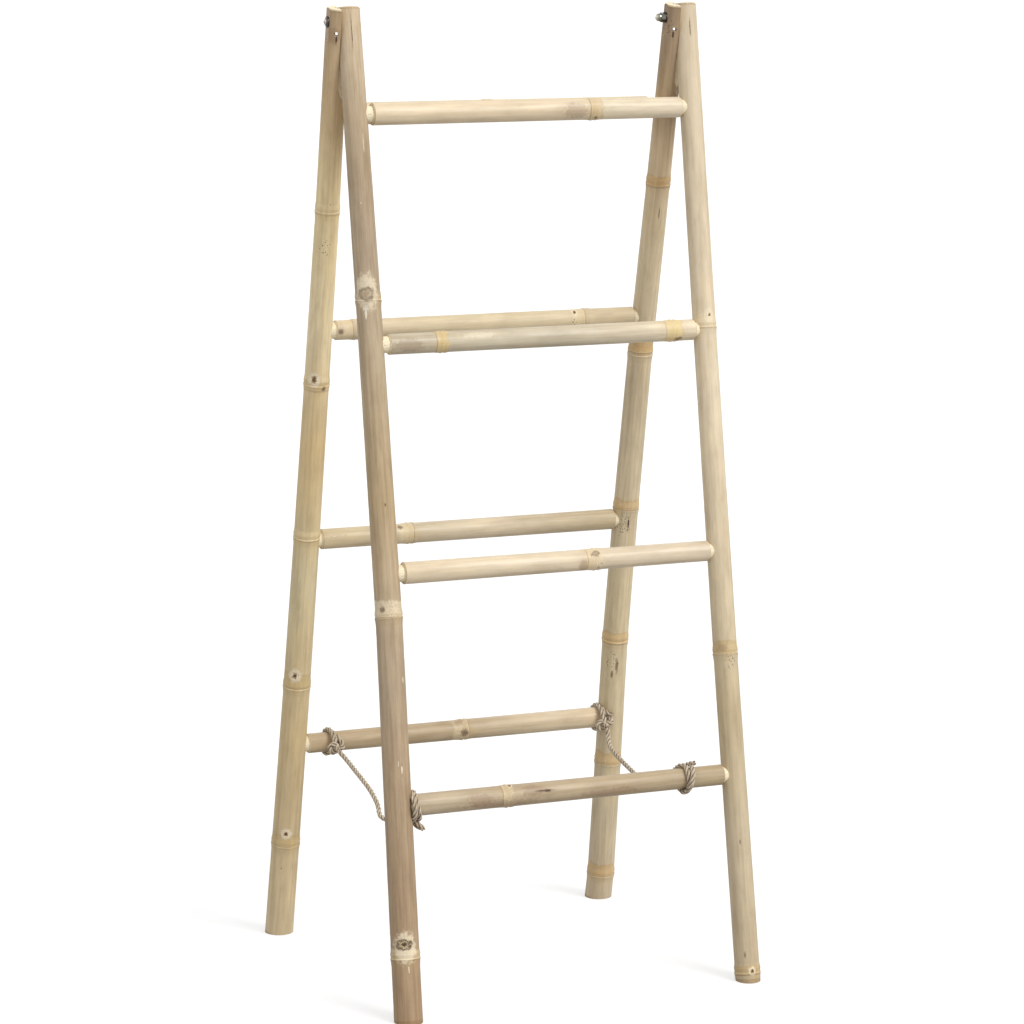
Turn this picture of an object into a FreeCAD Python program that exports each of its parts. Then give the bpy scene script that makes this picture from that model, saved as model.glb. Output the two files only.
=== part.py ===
"""Bamboo A-frame blanket ladder.

Two ladder frames of bamboo culms hang from one hinge line at the top and are kept from
spreading by two slack ropes near the floor.  Each frame is drawn upright in its own frame
coordinates (X along the rungs, Z along the poles, origin on the hinge line) and is then
tilted about the hinge line by half of the opening angle.  The ropes are drawn as they lie.
"""

import math
import os

import FreeCAD
import Part
import Sketcher

from FreeCAD import Placement, Rotation, Vector

doc = FreeCAD.newDocument("BlanketLadder")
sheet = doc.addObject("Spreadsheet::Sheet", "Dims")

# ---------------------------------------------------------------------------
# Driving dimensions, in millimetres and degrees
# ---------------------------------------------------------------------------

GENERAL = {
    # the two frames
    "pole_length": 1500,
    "hinge_below_top": 21,
    "half_angle": 9.8,
    "hinge_span": 546.8,
    "foot_span": 558.2,
    "hinge_offset": 18,
    "foot_offset": 30,
    # culm anatomy
    "pole_wall": 11,
    "rung_bore": 12,
    "diaphragm": 8,
    "node_ridge": 1.4,
    "node_swell": 1.1,
    "node_groove": 0.4,
    "swell_below": 12,
    "swell_above": 13,
    "end_chamfer": 2.5,
    # rung joints
    "tenon_diameter": 25,
    "tenon_past_axis": 4,
    "tenon_clearance": 0.15,
    "tenon_end_gap": 1,
    "shoulder_chamfer": 1.5,
    # half-lap of the back poles, and the scarf under it that clears the front pole
    "lap_gap": 0.4,
    "lap_below_hinge": 30,
    "scarf_below_hinge": 150,
    "scarf_side_angle": 50,
    "scarf_clearance": 0.8,
    "closed_angle": 14.6,
    "seat_depth": 2,
    "seat_radius": 28,
    "nick_radius": 3.2,
    "nick_below_hinge": 15.5,
    "nick_turn": 22.5,
    # pivot hardware
    "bolt_diameter": 8,
    "bolt_clearance": 0.1,
    "head_diameter": 14,
    "head_rise": 4.2,
    "washer_diameter": 16.4,
    "washer_thickness": 1.6,
    "washer_bore_clearance": 0.2,
    "washer_slip": 0.1,
    "nut_across_flats": 13,
    "nut_height": 6.5,
    "nut_recess_depth": 9.6,
    "head_recess_depth": 6,
    "recess_diameter": 17.6,
    "cap_hex_height": 7,
    "cap_dome_diameter": 12,
    "cap_neck_height": 2,
    "cap_bore_depth": 10.5,
    "thread_clearance": 0.05,
    "shank_proud": 0.8,
    # rope
    "rope_diameter": 8,
    "rope_seat": 0.7,
    "rope_lead": 8.5,
    # how much of the way to the next point of its route a free rope runs on with its lead
    "rope_lead_share": 0.5,
}

# one culm: diameter at the foot and at the top, then its nodes from the foot upwards: how far
# up each node is, as a share of the pole's length, and how far it sways off the straight line,
# along X
POLES = {
    "front_left": {
        "foot": 43,
        "top": 35,
        "nodes": [(0.064, 1), (0.4, 7), (0.712667, 4.4)],
    },
    "front_right": {
        "foot": 38.5,
        "top": 34,
        "nodes": [(0.009333, 0), (0.336667, -2.5), (0.670667, -2)],
    },
    "back_left": {
        "foot": 45,
        "top": 34,
        "nodes": [(0.104667, 1.3), (0.284, 3.3), (0.449333, 4), (0.614667, 4),
                  (0.795333, 3.6)],
    },
    "back_right": {
        "foot": 44,
        "top": 35,
        "nodes": [(0.029333, 1), (0.163333, -3.8), (0.307333, -9.8), (0.457333, -10.8),
                  (0.629333, -9.4), (0.813333, -3.7)],
    },
}

# one rung: how far up the poles as a share of their length, diameter at its left and right
# end, open gap between each shoulder and its pole, and where along it, from the left pole's
# axis, its nodes are
RUNGS = {
    "front_rung_1": {"share": 0.212667, "left": 33.3, "right": 31.6, "gaps": (1.5, 1.8), "nodes": [173]},
    "front_rung_2": {"share": 0.442, "left": 33, "right": 31.4, "gaps": (6, 1), "nodes": [335]},
    "front_rung_3": {"share": 0.668, "left": 31, "right": 32, "gaps": (7, 2), "nodes": [110, 486]},
    "front_rung_4": {"share": 0.894667, "left": 33.2, "right": 31.4, "gaps": (7, 2), "nodes": [379]},
    "back_rung_1": {"share": 0.216, "left": 31, "right": 33, "gaps": (3, 1.8), "nodes": [286]},
    "back_rung_2": {"share": 0.444667, "left": 31.4, "right": 32.4, "gaps": (2.2, 2), "nodes": [167]},
    "back_rung_3": {"share": 0.669333, "left": 30, "right": 30.8, "gaps": (4, 1.5), "nodes": [56, 435]},
    "back_rung_4": {"share": 0.893333, "left": 33, "right": 32.6, "gaps": (5, 14), "nodes": [246]},
}

# one lashing: its rung, its place along X from the ladder's middle, and the way that its rope
# takes round the rung: the angle (0 on top, 90 in front, 180 below, 270 behind), the shift
# along X, and the lift off the rung where it crosses over itself
LASHINGS = {
    "back_left": {
        "rung": "back_rung_1",
        "along": -232,
        "way": [(79, 21, 0.3), (90, 10, 0.5), (122, -1, 0.3), (180, -6, 0), (225, -7, 0), (270, -8, 0),
                (315, -8, 0), (355, -7, 1), (400, -4, 5), (431, 2, 10.3), (446, 6, 20.8)],
    },
    "back_right": {
        "rung": "back_rung_1",
        "along": 231,
        "way": [(70, 16, 8), (84, 7, 1), (118, 0, 0), (180, -3, 0), (225, -4, 0), (270, -4, 0),
                (315, -4, 0), (355, -3, 1), (400, -1, 5), (440, 2, 9), (457.5, 5, 19)],
    },
    "front_left": {
        "rung": "front_rung_1",
        "along": -232,
        "way": [(168, 3, 0), (135, 0.5, 0), (90, -4.5, 0), (40, -6, 0), (0, -3.2, 0), (-45, -4.5, 0),
                (-90, -5.5, 0), (-132, -5, 5), (-165, -1, 11), (-186, 7, 15)],
    },
    "front_right": {
        "rung": "front_rung_1",
        "along": 207,
        "way": [(-33, -5, 0), (5, -5, 0), (48, -4.2, 0), (90, -3.4, 0), (135, -2.8, 0),
                (180, -2, 0), (225, -0.6, 0), (270, 1.8, 0), (312, 4.2, 0), (350, 5.4, 0.5),
                (378, 7, 4), (396, 9.5, 11)],
    },
}

# the free rope between two lashings: points of its route between the two straight leads, in
# the world frame with the hinge line over the origin
ROPES = {
    "left": [
        (-225, 115, 307.5),
        (-229, 82, 304),
        (-231, 47, 296),
        (-232, 12, 288.5),
        (-233, -22, 281),
        (-233, -52, 269),
        (-232.5, -84, 263.5),
        (-231, -118, 267),
        (-228, -152, 277),
    ],
    "right": [
        (237, 126, 289),
        (231.5, 94, 284.5),
        (226, 62, 281.5),
        (220, 28, 276.5),
        (214.5, -6, 271.5),
        (209.5, -40, 273),
        (207, -72, 279.5),
        (205.5, -104, 289.5),
        (204, -134, 302.5),
    ],
}

SIDE = {"left": -1, "right": 1}
TILT = {"front": -1, "back": 1}
OFFSET = {"front": 1, "back": -1}

sheet_row = 0


def dim(alias, value):
    """One named size in the sheet, as plain text."""
    global sheet_row
    sheet_row += 1
    sheet.set("A%d" % sheet_row, alias)
    sheet.set("B%d" % sheet_row, str(value))
    sheet.setAlias("B%d" % sheet_row, alias)


def derived(alias, expression):
    """A named value in the sheet that follows from others."""
    dim(alias, "=" + expression.replace("Dims.", ""))
    return "Dims." + alias


for alias, value in GENERAL.items():
    dim(alias, value)
for pole, facts in POLES.items():
    dim(pole + "_foot_diameter", facts["foot"])
    dim(pole + "_top_diameter", facts["top"])
    for index, (share, sway) in enumerate(facts["nodes"], 1):
        dim("%s_node_%d_share" % (pole, index), share)
        derived("%s_node_%d_up" % (pole, index),
                "Dims.pole_length * Dims.%s_node_%d_share" % (pole, index))
        dim("%s_node_%d_sway" % (pole, index), sway)
for rung, facts in RUNGS.items():
    dim(rung + "_share", facts["share"])
    derived(rung + "_up", "Dims.pole_length * Dims.%s_share" % rung)
    dim(rung + "_left_diameter", facts["left"])
    dim(rung + "_right_diameter", facts["right"])
    dim(rung + "_left_gap", facts["gaps"][0])
    dim(rung + "_right_gap", facts["gaps"][1])
    for index, along in enumerate(facts["nodes"], 1):
        dim("%s_node_%d_along" % (rung, index), along)
for lashing, facts in LASHINGS.items():
    dim(lashing + "_lashing_along", facts["along"])

# ---------------------------------------------------------------------------
# Derived values in the sheet
# ---------------------------------------------------------------------------

REACH = derived("reach", "Dims.pole_length - Dims.hinge_below_top")
HINGE_HEIGHT = derived("hinge_height", "Dims.reach * cos(Dims.half_angle * 1 deg)")
# these two put the middle of the whole ladder's box over the origin; the box is widest at
# the cut foot of the back left pole and at the lowest node of the front right one
ORIGIN_X = derived(
    "origin_x",
    "(Dims.back_left_foot_diameter - Dims.front_right_foot_diameter) / 4 - Dims.node_ridge / 2")
ORIGIN_Y = derived(
    "origin_y", "(Dims.front_left_foot_diameter - Dims.back_left_foot_diameter) / 4")


def straight_x(pole, up):
    """X of a pole's straight line at a distance up from its foot."""
    foot, hinge = "Dims.%s_foot_x" % pole, "Dims.%s_hinge_x" % pole
    return "(%s + (%s - %s) * (%s) / Dims.reach)" % (foot, hinge, foot, up)


def pole_x(pole, up):
    """X of a pole's bent axis: the straight line and the sway between its nodes."""
    bends = [("0", "0")]
    for index in range(1, len(POLES[pole]["nodes"]) + 1):
        node = "Dims.%s_node_%d_" % (pole, index)
        bends.append((node + "up", node + "sway"))
    bends.append(("Dims.pole_length", "0"))
    runs = [
        "(%s + (%s - %s) * (%s - %s) / (%s - %s))" % (sway, next_sway, sway, up, low, high, low)
        for (low, sway), (high, next_sway) in zip(bends, bends[1:])
    ]
    sway = runs.pop()
    for (high, _), run in zip(bends[-2:0:-1], reversed(runs)):
        sway = "((%s) <= %s ? %s : %s)" % (up, high, run, sway)
    return "(%s + %s)" % (straight_x(pole, up), sway)


def pole_radius(pole, up):
    foot = "Dims.%s_foot_diameter" % pole
    top = "Dims.%s_top_diameter" % pole
    return "((%s + (%s - %s) * (%s) / Dims.pole_length) / 2)" % (foot, top, foot, up)


for pole in POLES:
    frame, side = pole.split("_")
    for end in ("foot", "hinge"):
        derived("%s_%s_x" % (pole, end), "%d * Dims.%s_span / 2 + %d * Dims.%s_offset / 2" % (
            SIDE[side], end, OFFSET[frame], end))
    derived(pole + "_pivot_x", pole_x(pole, REACH))
    derived(pole + "_pivot_radius", pole_radius(pole, REACH))

for side in SIDE:
    front, back = "Dims.front_%s_pivot_" % side, "Dims.back_%s_pivot_" % side
    derived(side + "_lap_x", "%sx - %sradius - Dims.lap_gap" % (front, front))
    derived(side + "_seat_x", "%sx - %sradius + Dims.seat_depth" % (back, back))
    # the left faces of the outer washers, against the flats of the back poles
    derived(side + "_outer_x", "Dims.%s_seat_x - Dims.washer_slip - Dims.washer_thickness" % side)
    depth = {"left": "Dims.nut_recess_depth", "right": "Dims.head_recess_depth"}[side]
    derived(side + "_recess_x", "%sx + %sradius - %s" % (front, front, depth))
    # the right faces of the inner washers, in the recesses of the front poles
    derived(side + "_inner_x", "Dims.%s_recess_x + Dims.washer_thickness" % side)

for rung in RUNGS:
    frame = rung.split("_")[0]
    up = "Dims.%s_up" % rung
    for side, sign in SIDE.items():
        pole = "%s_%s" % (frame, side)
        axis = derived("%s_%s_axis_x" % (rung, side), pole_x(pole, up))
        derived("%s_%s_shoulder_x" % (rung, side), "%s - %d * (%s + Dims.%s_%s_gap)" % (
            axis, sign, pole_radius(pole, up), rung, side))

doc.recompute()


def number(expression):
    """What an expression on the sheet comes to, in millimetres or degrees."""
    found = sheet.evalExpression(expression)
    return float(getattr(found, "Value", found))


# ---------------------------------------------------------------------------
# Binding shapes to the sheet
# ---------------------------------------------------------------------------

ACROSS = ("1", "0", "0")
FORE_AFT = ("0", "1", "0")
UPRIGHT = ("0", "0", "1")


def bind(thing, **expressions):
    for name, expression in expressions.items():
        thing.setExpression(name, expression)
    return thing


def turned(axis, angle, x="0", y="0", z="0"):
    return "placement(vector(%s; %s; %s); rotation(vector(%s; %s; %s); %s))" % (
        (x, y, z) + axis + (angle,))


def spot(x="0", y="0", z="0"):
    return turned(ACROSS, "0", x, y, z)


def frame_place(frame):
    """The tilt of a whole frame about the hinge line, and its place over the floor."""
    return turned(ACROSS, "%d * Dims.half_angle" % TILT[frame], ORIGIN_X, ORIGIN_Y, HINGE_HEIGHT)


def rod(name, radius, length, x, z="0", inwards=False):
    """A cylinder along X, growing towards +X, or towards -X if inwards."""
    cylinder = doc.addObject("Part::Cylinder", name)
    angle = "-90" if inwards else "90"
    return bind(cylinder, Radius=radius, Height=length, Placement=turned(FORE_AFT, angle, x, "0", z))


def block(name, length, width, height, place):
    box = doc.addObject("Part::Box", name)
    return bind(box, Length=length, Width=width, Height=height, Placement=place)


def union(name, things):
    result = doc.addObject("Part::MultiFuse", name)
    result.Shapes = things
    return result


def pair_of(kind, name, base, tool):
    result = doc.addObject(kind, name)
    result.Base = base
    result.Tool = tool
    return result


def difference(name, base, tool):
    return pair_of("Part::Cut", name, base, tool)


# ---------------------------------------------------------------------------
# Culms
# ---------------------------------------------------------------------------

# a node of a culm, from below it to above it: the distance along and the rise of the skin
NODE_PROFILE = (
    ("-Dims.swell_below", "0"),
    ("-Dims.swell_below * 0.4", "Dims.node_swell * 0.6"),
    ("-Dims.swell_below * 0.12", "Dims.node_ridge"),
    ("0", "Dims.node_groove"),
    ("Dims.swell_above * 0.4", "Dims.node_swell"),
    ("Dims.swell_above", "0"),
)


def section(name, pole, up, radius):
    """One round section of a pole, level in the frame's own coordinates."""
    circle = doc.addObject("Part::Circle", name)
    return bind(circle, Radius=radius, Placement=spot(pole_x(pole, up), "0", "%s - Dims.reach" % up))


def loft(name, sections):
    skin = doc.addObject("Part::Loft", name)
    skin.Sections = sections
    skin.Solid = True
    skin.Ruled = True
    return skin


def pole_nodes(pole):
    return ["Dims.%s_node_%d_up" % (pole, index + 1) for index in range(len(POLES[pole]["nodes"]))]


def culm_skin(pole):
    """The outside of a pole: tapering internodes, with a ridge and a swelling at each node."""
    stations = [("-Dims.swell_above", "0")]
    for node in pole_nodes(pole):
        stations += [("(%s + (%s))" % (node, reach), rise) for reach, rise in NODE_PROFILE]
    stations.append(("(Dims.pole_length - Dims.end_chamfer)", "0"))
    stations.append(("Dims.pole_length", "-Dims.end_chamfer * 0.7"))
    return loft(pole + "_skin", [
        section("%s_ring_%d" % (pole, index), pole, up, "%s + (%s)" % (pole_radius(pole, up), rise))
        for index, (up, rise) in enumerate(stations)
    ])


def culm_hollows(pole):
    """The hollow of each internode, closed by the diaphragm at every node."""
    marks = pole_nodes(pole)
    lows = ["(-Dims.swell_above - 1)"] + ["(%s + Dims.diaphragm / 2)" % mark for mark in marks]
    highs = ["(%s - Dims.diaphragm / 2)" % mark for mark in marks] + ["(Dims.pole_length + 1)"]
    return [
        loft("%s_hollow_%d" % (pole, index), [
            section("%s_hollow_%d_%d" % (pole, index, which), pole, up,
                    "%s - Dims.pole_wall" % pole_radius(pole, up))
            for which, up in enumerate(ends)
        ])
        for index, ends in enumerate(zip(lows, highs))
    ]


def tenon_sockets(pole):
    """Round blind holes for the tenons of the rungs, in the pole's inner side."""
    frame, side = pole.split("_")
    depth = "(Dims.tenon_past_axis + Dims.tenon_end_gap)"
    return [
        rod("%s_socket_%s" % (pole, rung), "Dims.tenon_diameter / 2 + Dims.tenon_clearance",
            "%s + Dims.%s_foot_diameter" % (depth, pole),
            "Dims.%s_%s_axis_x + %d * %s" % (rung, side, SIDE[side], depth),
            "Dims.%s_up - Dims.reach" % rung, inwards=(side == "right"))
        for rung in RUNGS if rung.startswith(frame)
    ]


def floor_cut(pole):
    """Everything under the floor, as it lies in the tilted frame's own coordinates."""
    tilt = TILT[pole.split("_")[0]]
    width = "(3 * Dims.%s_foot_diameter)" % pole
    depth = "(Dims.swell_above + Dims.%s_foot_diameter)" % pole
    below = spot(
        "Dims.%s_foot_x - %s / 2" % (pole, width),
        "%d * Dims.reach * sin(Dims.half_angle * 1 deg) - %s / 2" % (tilt, width),
        "-Dims.hinge_height - %s" % depth)
    return block(
        pole + "_floor", width, width, depth,
        turned(ACROSS, "%d * Dims.half_angle" % -tilt) + " * " + below)


# ---------------------------------------------------------------------------
# Cuts at the pivot
# ---------------------------------------------------------------------------


def bolt_hole(pole):
    wide = "Dims.%s_foot_diameter" % pole
    return rod(
        pole + "_bolt_hole", "Dims.bolt_diameter / 2 + Dims.bolt_clearance",
        "2 * " + wide, "Dims.%s_pivot_x - %s" % (pole, wide))


def front_pivot_cuts(pole):
    recess = rod(
        pole + "_recess", "Dims.recess_diameter / 2", "Dims.%s_foot_diameter" % pole,
        "Dims.%s_recess_x" % pole.split("_")[1])
    return [bolt_hole(pole), recess]


def back_pivot_cuts(pole):
    """The half-lap, the scarf under it, the washer's flat and the nick at its edge."""
    side = pole.split("_")[1]
    wide = "Dims.%s_foot_diameter" % pole
    lap_x = "Dims.%s_lap_x" % side

    lap = block(
        pole + "_lap", wide, "2 * " + wide, "Dims.lap_below_hinge + Dims.hinge_below_top + 1",
        spot(lap_x, "-" + wide, "-Dims.lap_below_hinge"))

    # the scarf's flat runs out down the pole, just outside the round front pole as it
    # stands when the ladder is pushed together
    across = "cos(Dims.scarf_side_angle * 1 deg)"
    forward = "sin(Dims.scarf_side_angle * 1 deg)"
    near = "((Dims.front_%s_pivot_x - Dims.%s_pivot_x) * %s - Dims.front_%s_pivot_radius" % (
        side, pole, across, side) + " - Dims.scarf_clearance)"
    lean = "atan(sin(Dims.closed_angle * 1 deg) * %s)" % forward
    slab = block(
        pole + "_scarf_slab", "2 * " + wide, "4 * " + wide, "2 * Dims.scarf_below_hinge",
        " * ".join((
            turned(UPRIGHT, "-Dims.scarf_side_angle",
                   "Dims.%s_pivot_x + %s * %s" % (pole, near, across),
                   "-%s * %s" % (near, forward)),
            turned(FORE_AFT, "-" + lean),
            spot("0", "-2 * " + wide, "-Dims.scarf_below_hinge"),
        )))
    beside = block(
        pole + "_scarf_side", wide, "2 * " + wide, "Dims.scarf_below_hinge",
        spot(lap_x, "-" + wide, "-Dims.scarf_below_hinge"))
    scarf = pair_of("Part::Common", pole + "_scarf", beside, slab)

    seat = rod(pole + "_seat", "Dims.seat_radius", wide, "Dims.%s_seat_x" % side, inwards=True)

    nick = doc.addObject("Part::Cylinder", pole + "_nick")
    bind(nick, Radius="Dims.nick_radius", Height="2 * " + wide, Placement=" * ".join((
        turned(UPRIGHT, "-Dims.nick_turn", lap_x, "0", "-Dims.nick_below_hinge"),
        turned(ACROSS, "-90"),
        spot("0", "0", "-" + wide),
    )))
    return [lap, scarf, seat, bolt_hole(pole), nick]


# ---------------------------------------------------------------------------
# Poles and rungs
# ---------------------------------------------------------------------------

nodes = {}


def keep(name, thing):
    thing.Label = name
    nodes[name] = thing
    return thing


for pole in POLES:
    frame = pole.split("_")[0]
    pivot_cuts = front_pivot_cuts if frame == "front" else back_pivot_cuts
    tools = culm_hollows(pole) + tenon_sockets(pole) + pivot_cuts(pole) + [floor_cut(pole)]
    whole = difference(pole + "_culm", culm_skin(pole), union(pole + "_cuts", tools))
    keep(pole + "_pole", bind(whole, Placement=frame_place(frame)))


def outline_sketch(body, name, points):
    """A closed outline in the body's XZ plane, every corner bound to the sheet."""
    sketch = body.newObject("Sketcher::SketchObject", name)
    plane = [item for item in body.Origin.OriginFeatures if item.Role == "XZ_Plane"][0]
    sketch.AttachmentSupport = [(plane, "")]
    sketch.MapMode = "FlatFace"
    corners = [Vector(number(x), number(z), 0) for x, z in points]
    following = corners[1:] + corners[:1]
    for corner, onward in zip(corners, following):
        sketch.addGeometry(Part.LineSegment(corner, onward), False)
    for index, (x, z) in enumerate(points):
        sketch.addConstraint(
            Sketcher.Constraint("Coincident", index, 2, (index + 1) % len(points), 1))
        for way, value in (("DistanceX", x), ("DistanceY", z)):
            key = sketch.addConstraint(Sketcher.Constraint(way, -1, 1, index, 1, number(value)))
            sketch.setExpression("Constraints[%d]" % key, value)
    return sketch


def rung_outline(rung):
    """Half a rung from the side: tenon, shoulder, culm with its nodes, shoulder, tenon."""
    bore, tenon = "Dims.rung_bore / 2", "Dims.tenon_diameter / 2"
    chamfer = "Dims.shoulder_chamfer"
    left_end = "Dims.%s_left_axis_x - Dims.tenon_past_axis" % rung
    right_end = "Dims.%s_right_axis_x + Dims.tenon_past_axis" % rung
    left, right = "Dims.%s_left_shoulder_x" % rung, "Dims.%s_right_shoulder_x" % rung
    first, last = "Dims.%s_left_diameter" % rung, "Dims.%s_right_diameter" % rung

    def skin(x, rise="0"):
        return "(%s + (%s - %s) * (%s - %s) / (%s - %s)) / 2 + (%s)" % (
            first, last, first, x, left, right, left, rise)

    points = [
        (left_end, bore),
        (left_end, tenon),
        (left, tenon),
        (left, skin(left, "-" + chamfer)),
        (left + " + " + chamfer, skin("(%s + %s)" % (left, chamfer))),
    ]
    for index in range(1, len(RUNGS[rung]["nodes"]) + 1):
        for reach, rise in NODE_PROFILE:
            x = "(Dims.%s_left_axis_x + Dims.%s_node_%d_along + (%s))" % (rung, rung, index, reach)
            points.append((x, skin(x, rise)))
    points += [
        (right + " - " + chamfer, skin("(%s - %s)" % (right, chamfer))),
        (right, skin(right, "-" + chamfer)),
        (right, tenon),
        (right_end, tenon),
        (right_end, bore),
    ]
    return points


for rung in RUNGS:
    body = doc.addObject("PartDesign::Body", rung + "_body")
    outline = outline_sketch(body, rung + "_outline", rung_outline(rung))
    turning = body.newObject("PartDesign::Revolution", rung + "_turning")
    turning.Profile = outline
    turning.ReferenceAxis = (outline, ["H_Axis"])
    turning.Angle = 360
    body.Tip = turning
    level = spot("0", "0", "Dims.%s_up - Dims.reach" % rung)
    keep(rung, bind(body, Placement=frame_place(rung.split("_")[0]) + " * " + level))

# ---------------------------------------------------------------------------
# Pivot hardware, all of it on the hinge line
# ---------------------------------------------------------------------------

SHANK = "Dims.bolt_diameter / 2"


def dome(name, diameter, rise, x, inwards):
    """A shallow round cap along X, standing on the plane at x."""
    ball = "(((%s / 2)^2 + %s^2) / (2 * %s))" % (diameter, rise, rise)
    cap = doc.addObject("Part::Sphere", name)
    angle, shift = ("-90", "%s + (%s - %s)") if inwards else ("90", "%s - (%s - %s)")
    return bind(
        cap, Radius=ball, Angle1="asin((%s - %s) / %s)" % (ball, rise, ball),
        Placement=turned(FORE_AFT, angle, shift % (x, ball, rise)))


def hexagon(name, height, x, inwards=False):
    prism = doc.addObject("Part::Prism", name)
    prism.Polygon = 6
    return bind(
        prism, Circumradius="Dims.nut_across_flats / 2 / cos(30 deg)", Height=height,
        Placement=turned(FORE_AFT, "-90" if inwards else "90", x))


def washer(name, x):
    """A flat washer whose left face is at x."""
    disc = rod(name + "_disc", "Dims.washer_diameter / 2", "Dims.washer_thickness", x)
    hole = rod(
        name + "_hole", SHANK + " + Dims.washer_bore_clearance", "3 * Dims.washer_thickness",
        "%s - Dims.washer_thickness" % x)
    return difference(name + "_ring", disc, hole)


hardware = {
    "left_head_washer": washer("left_head_washer", "Dims.left_outer_x"),
    "left_nut_washer": washer("left_nut_washer", "Dims.left_recess_x"),
    "right_head_washer": washer("right_head_washer", "Dims.right_recess_x"),
    "right_nut_washer": washer("right_nut_washer", "Dims.right_outer_x"),
}

left_length = "Dims.left_inner_x + Dims.nut_height + Dims.shank_proud - Dims.left_outer_x"
hardware["left_pivot_bolt"] = union("left_bolt", [
    dome("left_bolt_head", "Dims.head_diameter", "Dims.head_rise", "Dims.left_outer_x", True),
    rod("left_bolt_shank", SHANK, left_length, "Dims.left_outer_x"),
])
hardware["left_lock_nut"] = difference(
    "left_nut",
    hexagon("left_nut_hex", "Dims.nut_height", "Dims.left_inner_x"),
    rod("left_nut_bore", SHANK + " + Dims.thread_clearance", "3 * Dims.nut_height",
        "Dims.left_inner_x - Dims.nut_height"))

right_tip = "(Dims.right_outer_x - Dims.cap_bore_depth + Dims.shank_proud)"
hardware["right_pivot_bolt"] = union("right_bolt", [
    dome("right_bolt_head", "Dims.head_diameter", "Dims.head_rise", "Dims.right_inner_x", False),
    rod("right_bolt_shank", SHANK, "Dims.right_inner_x - " + right_tip, right_tip),
])
dome_base = "(Dims.right_outer_x - Dims.cap_hex_height - Dims.cap_neck_height)"
cap_dome = doc.addObject("Part::Sphere", "right_cap_dome")
bind(cap_dome, Radius="Dims.cap_dome_diameter / 2", Placement=spot(dome_base))
hardware["right_cap_nut"] = difference(
    "right_cap",
    union("right_cap_skin", [
        hexagon("right_cap_hex", "Dims.cap_hex_height", "Dims.right_outer_x", inwards=True),
        rod("right_cap_neck", "Dims.cap_dome_diameter / 2",
            "Dims.cap_neck_height + Dims.cap_hex_height", dome_base),
        cap_dome,
    ]),
    rod("right_cap_bore", SHANK + " + Dims.thread_clearance",
        "Dims.cap_bore_depth + Dims.nut_height", "Dims.right_outer_x - Dims.cap_bore_depth"))

for name, thing in hardware.items():
    keep(name, bind(thing, Placement=frame_place("front")))

# ---------------------------------------------------------------------------
# Ropes: the routes are worked out in the world frame
# ---------------------------------------------------------------------------

ROPE_RADIUS = number("Dims.rope_diameter / 2")
ROPE_LEAD = number("Dims.rope_lead")
TO_ORIGIN = Placement(Vector(number(ORIGIN_X), number(ORIGIN_Y), 0), Rotation())


def rung_radius(rung, x):
    left, right, first, last = (
        number("Dims.%s_%s" % (rung, key))
        for key in ("left_axis_x", "right_axis_x", "left_diameter", "right_diameter"))
    return (first + (last - first) * (x - left) / (right - left)) / 2


def lashing_points(name):
    """The way of a lashing round its rung, where the rung lies as the ladder stands."""
    rung = LASHINGS[name]["rung"]
    drop = "(Dims.reach - Dims.%s_up)" % rung
    tilt = TILT[rung.split("_")[0]]
    y = number("%d * %s * sin(Dims.half_angle * 1 deg)" % (tilt, drop))
    z = number("Dims.hinge_height - %s * cos(Dims.half_angle * 1 deg)" % drop)
    points = []
    for angle, shift, lift in LASHINGS[name]["way"]:
        x = number("Dims.%s_lashing_along" % name) + shift
        off = rung_radius(rung, x) + number("Dims.rope_seat") + ROPE_RADIUS + lift
        turn = math.radians(angle)
        points.append(Vector(x, y - off * math.sin(turn), z + off * math.cos(turn)))
    return points


def mirrored(way, chord):
    """The way at the far end of the arc that has this chord and starts along this way."""
    chord = Vector(chord).normalize()
    return chord * (2 * chord.dot(way)) - way


def tangents(points):
    """At each point, the way of the circle through it and its two neighbours."""
    ways = []
    for before, here, after in zip(points, points[1:], points[2:]):
        back, fore = here - before, after - here
        way = back * (fore.Length / back.Length) + fore * (back.Length / fore.Length)
        ways.append(way.normalize())
    first = mirrored(ways[0], points[1] - points[0])
    last = mirrored(ways[-1], points[-1] - points[-2])
    return [first] + ways + [last]


def arc_between(start, corner, end):
    """The arc from start to end whose tangents meet at corner, or the line if it is straight."""
    half = (corner - start).getAngle(end - corner) / 2
    if half < math.radians(0.05):
        return Part.makeLine(start, end)
    radius = (corner - start).Length / math.tan(half)
    inward = ((start + end) * 0.5 - corner).normalize()
    middle = corner + inward * (radius / math.cos(half) - radius)
    return Part.Arc(start, middle, end).toShape()


def biarc(start, way_out, end, way_in):
    """Two arcs, tangent to each other and to the ways at both ends."""
    span, both = end - start, way_out + way_in
    a = both.dot(both) - 4
    b = -2 * span.dot(both)
    c = span.dot(span)
    reach = (-b - math.sqrt(b * b - 4 * a * c)) / (2 * a)
    first, second = start + way_out * reach, end - way_in * reach
    joint = (first + second) * 0.5
    return [arc_between(start, first, joint), arc_between(joint, second, end)]


def tube(name, edges):
    """A rope as a round tube along edges that run on smoothly from one to the next."""
    wire = Part.Wire(edges)
    first = edges[0]
    start, way = first.valueAt(first.FirstParameter), first.tangentAt(first.FirstParameter)
    solid = wire.makePipeShell([Part.Wire([Part.makeCircle(ROPE_RADIUS, start, way)])], True, False)
    print("%s: length %.1f mm, volume %.4f of section by length" % (
        name, wire.Length, solid.Volume / (math.pi * ROPE_RADIUS ** 2 * wire.Length)))
    thing = doc.addObject("Part::Feature", name)
    thing.Shape = solid
    thing.Placement = TO_ORIGIN
    keep(name, thing)


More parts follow.
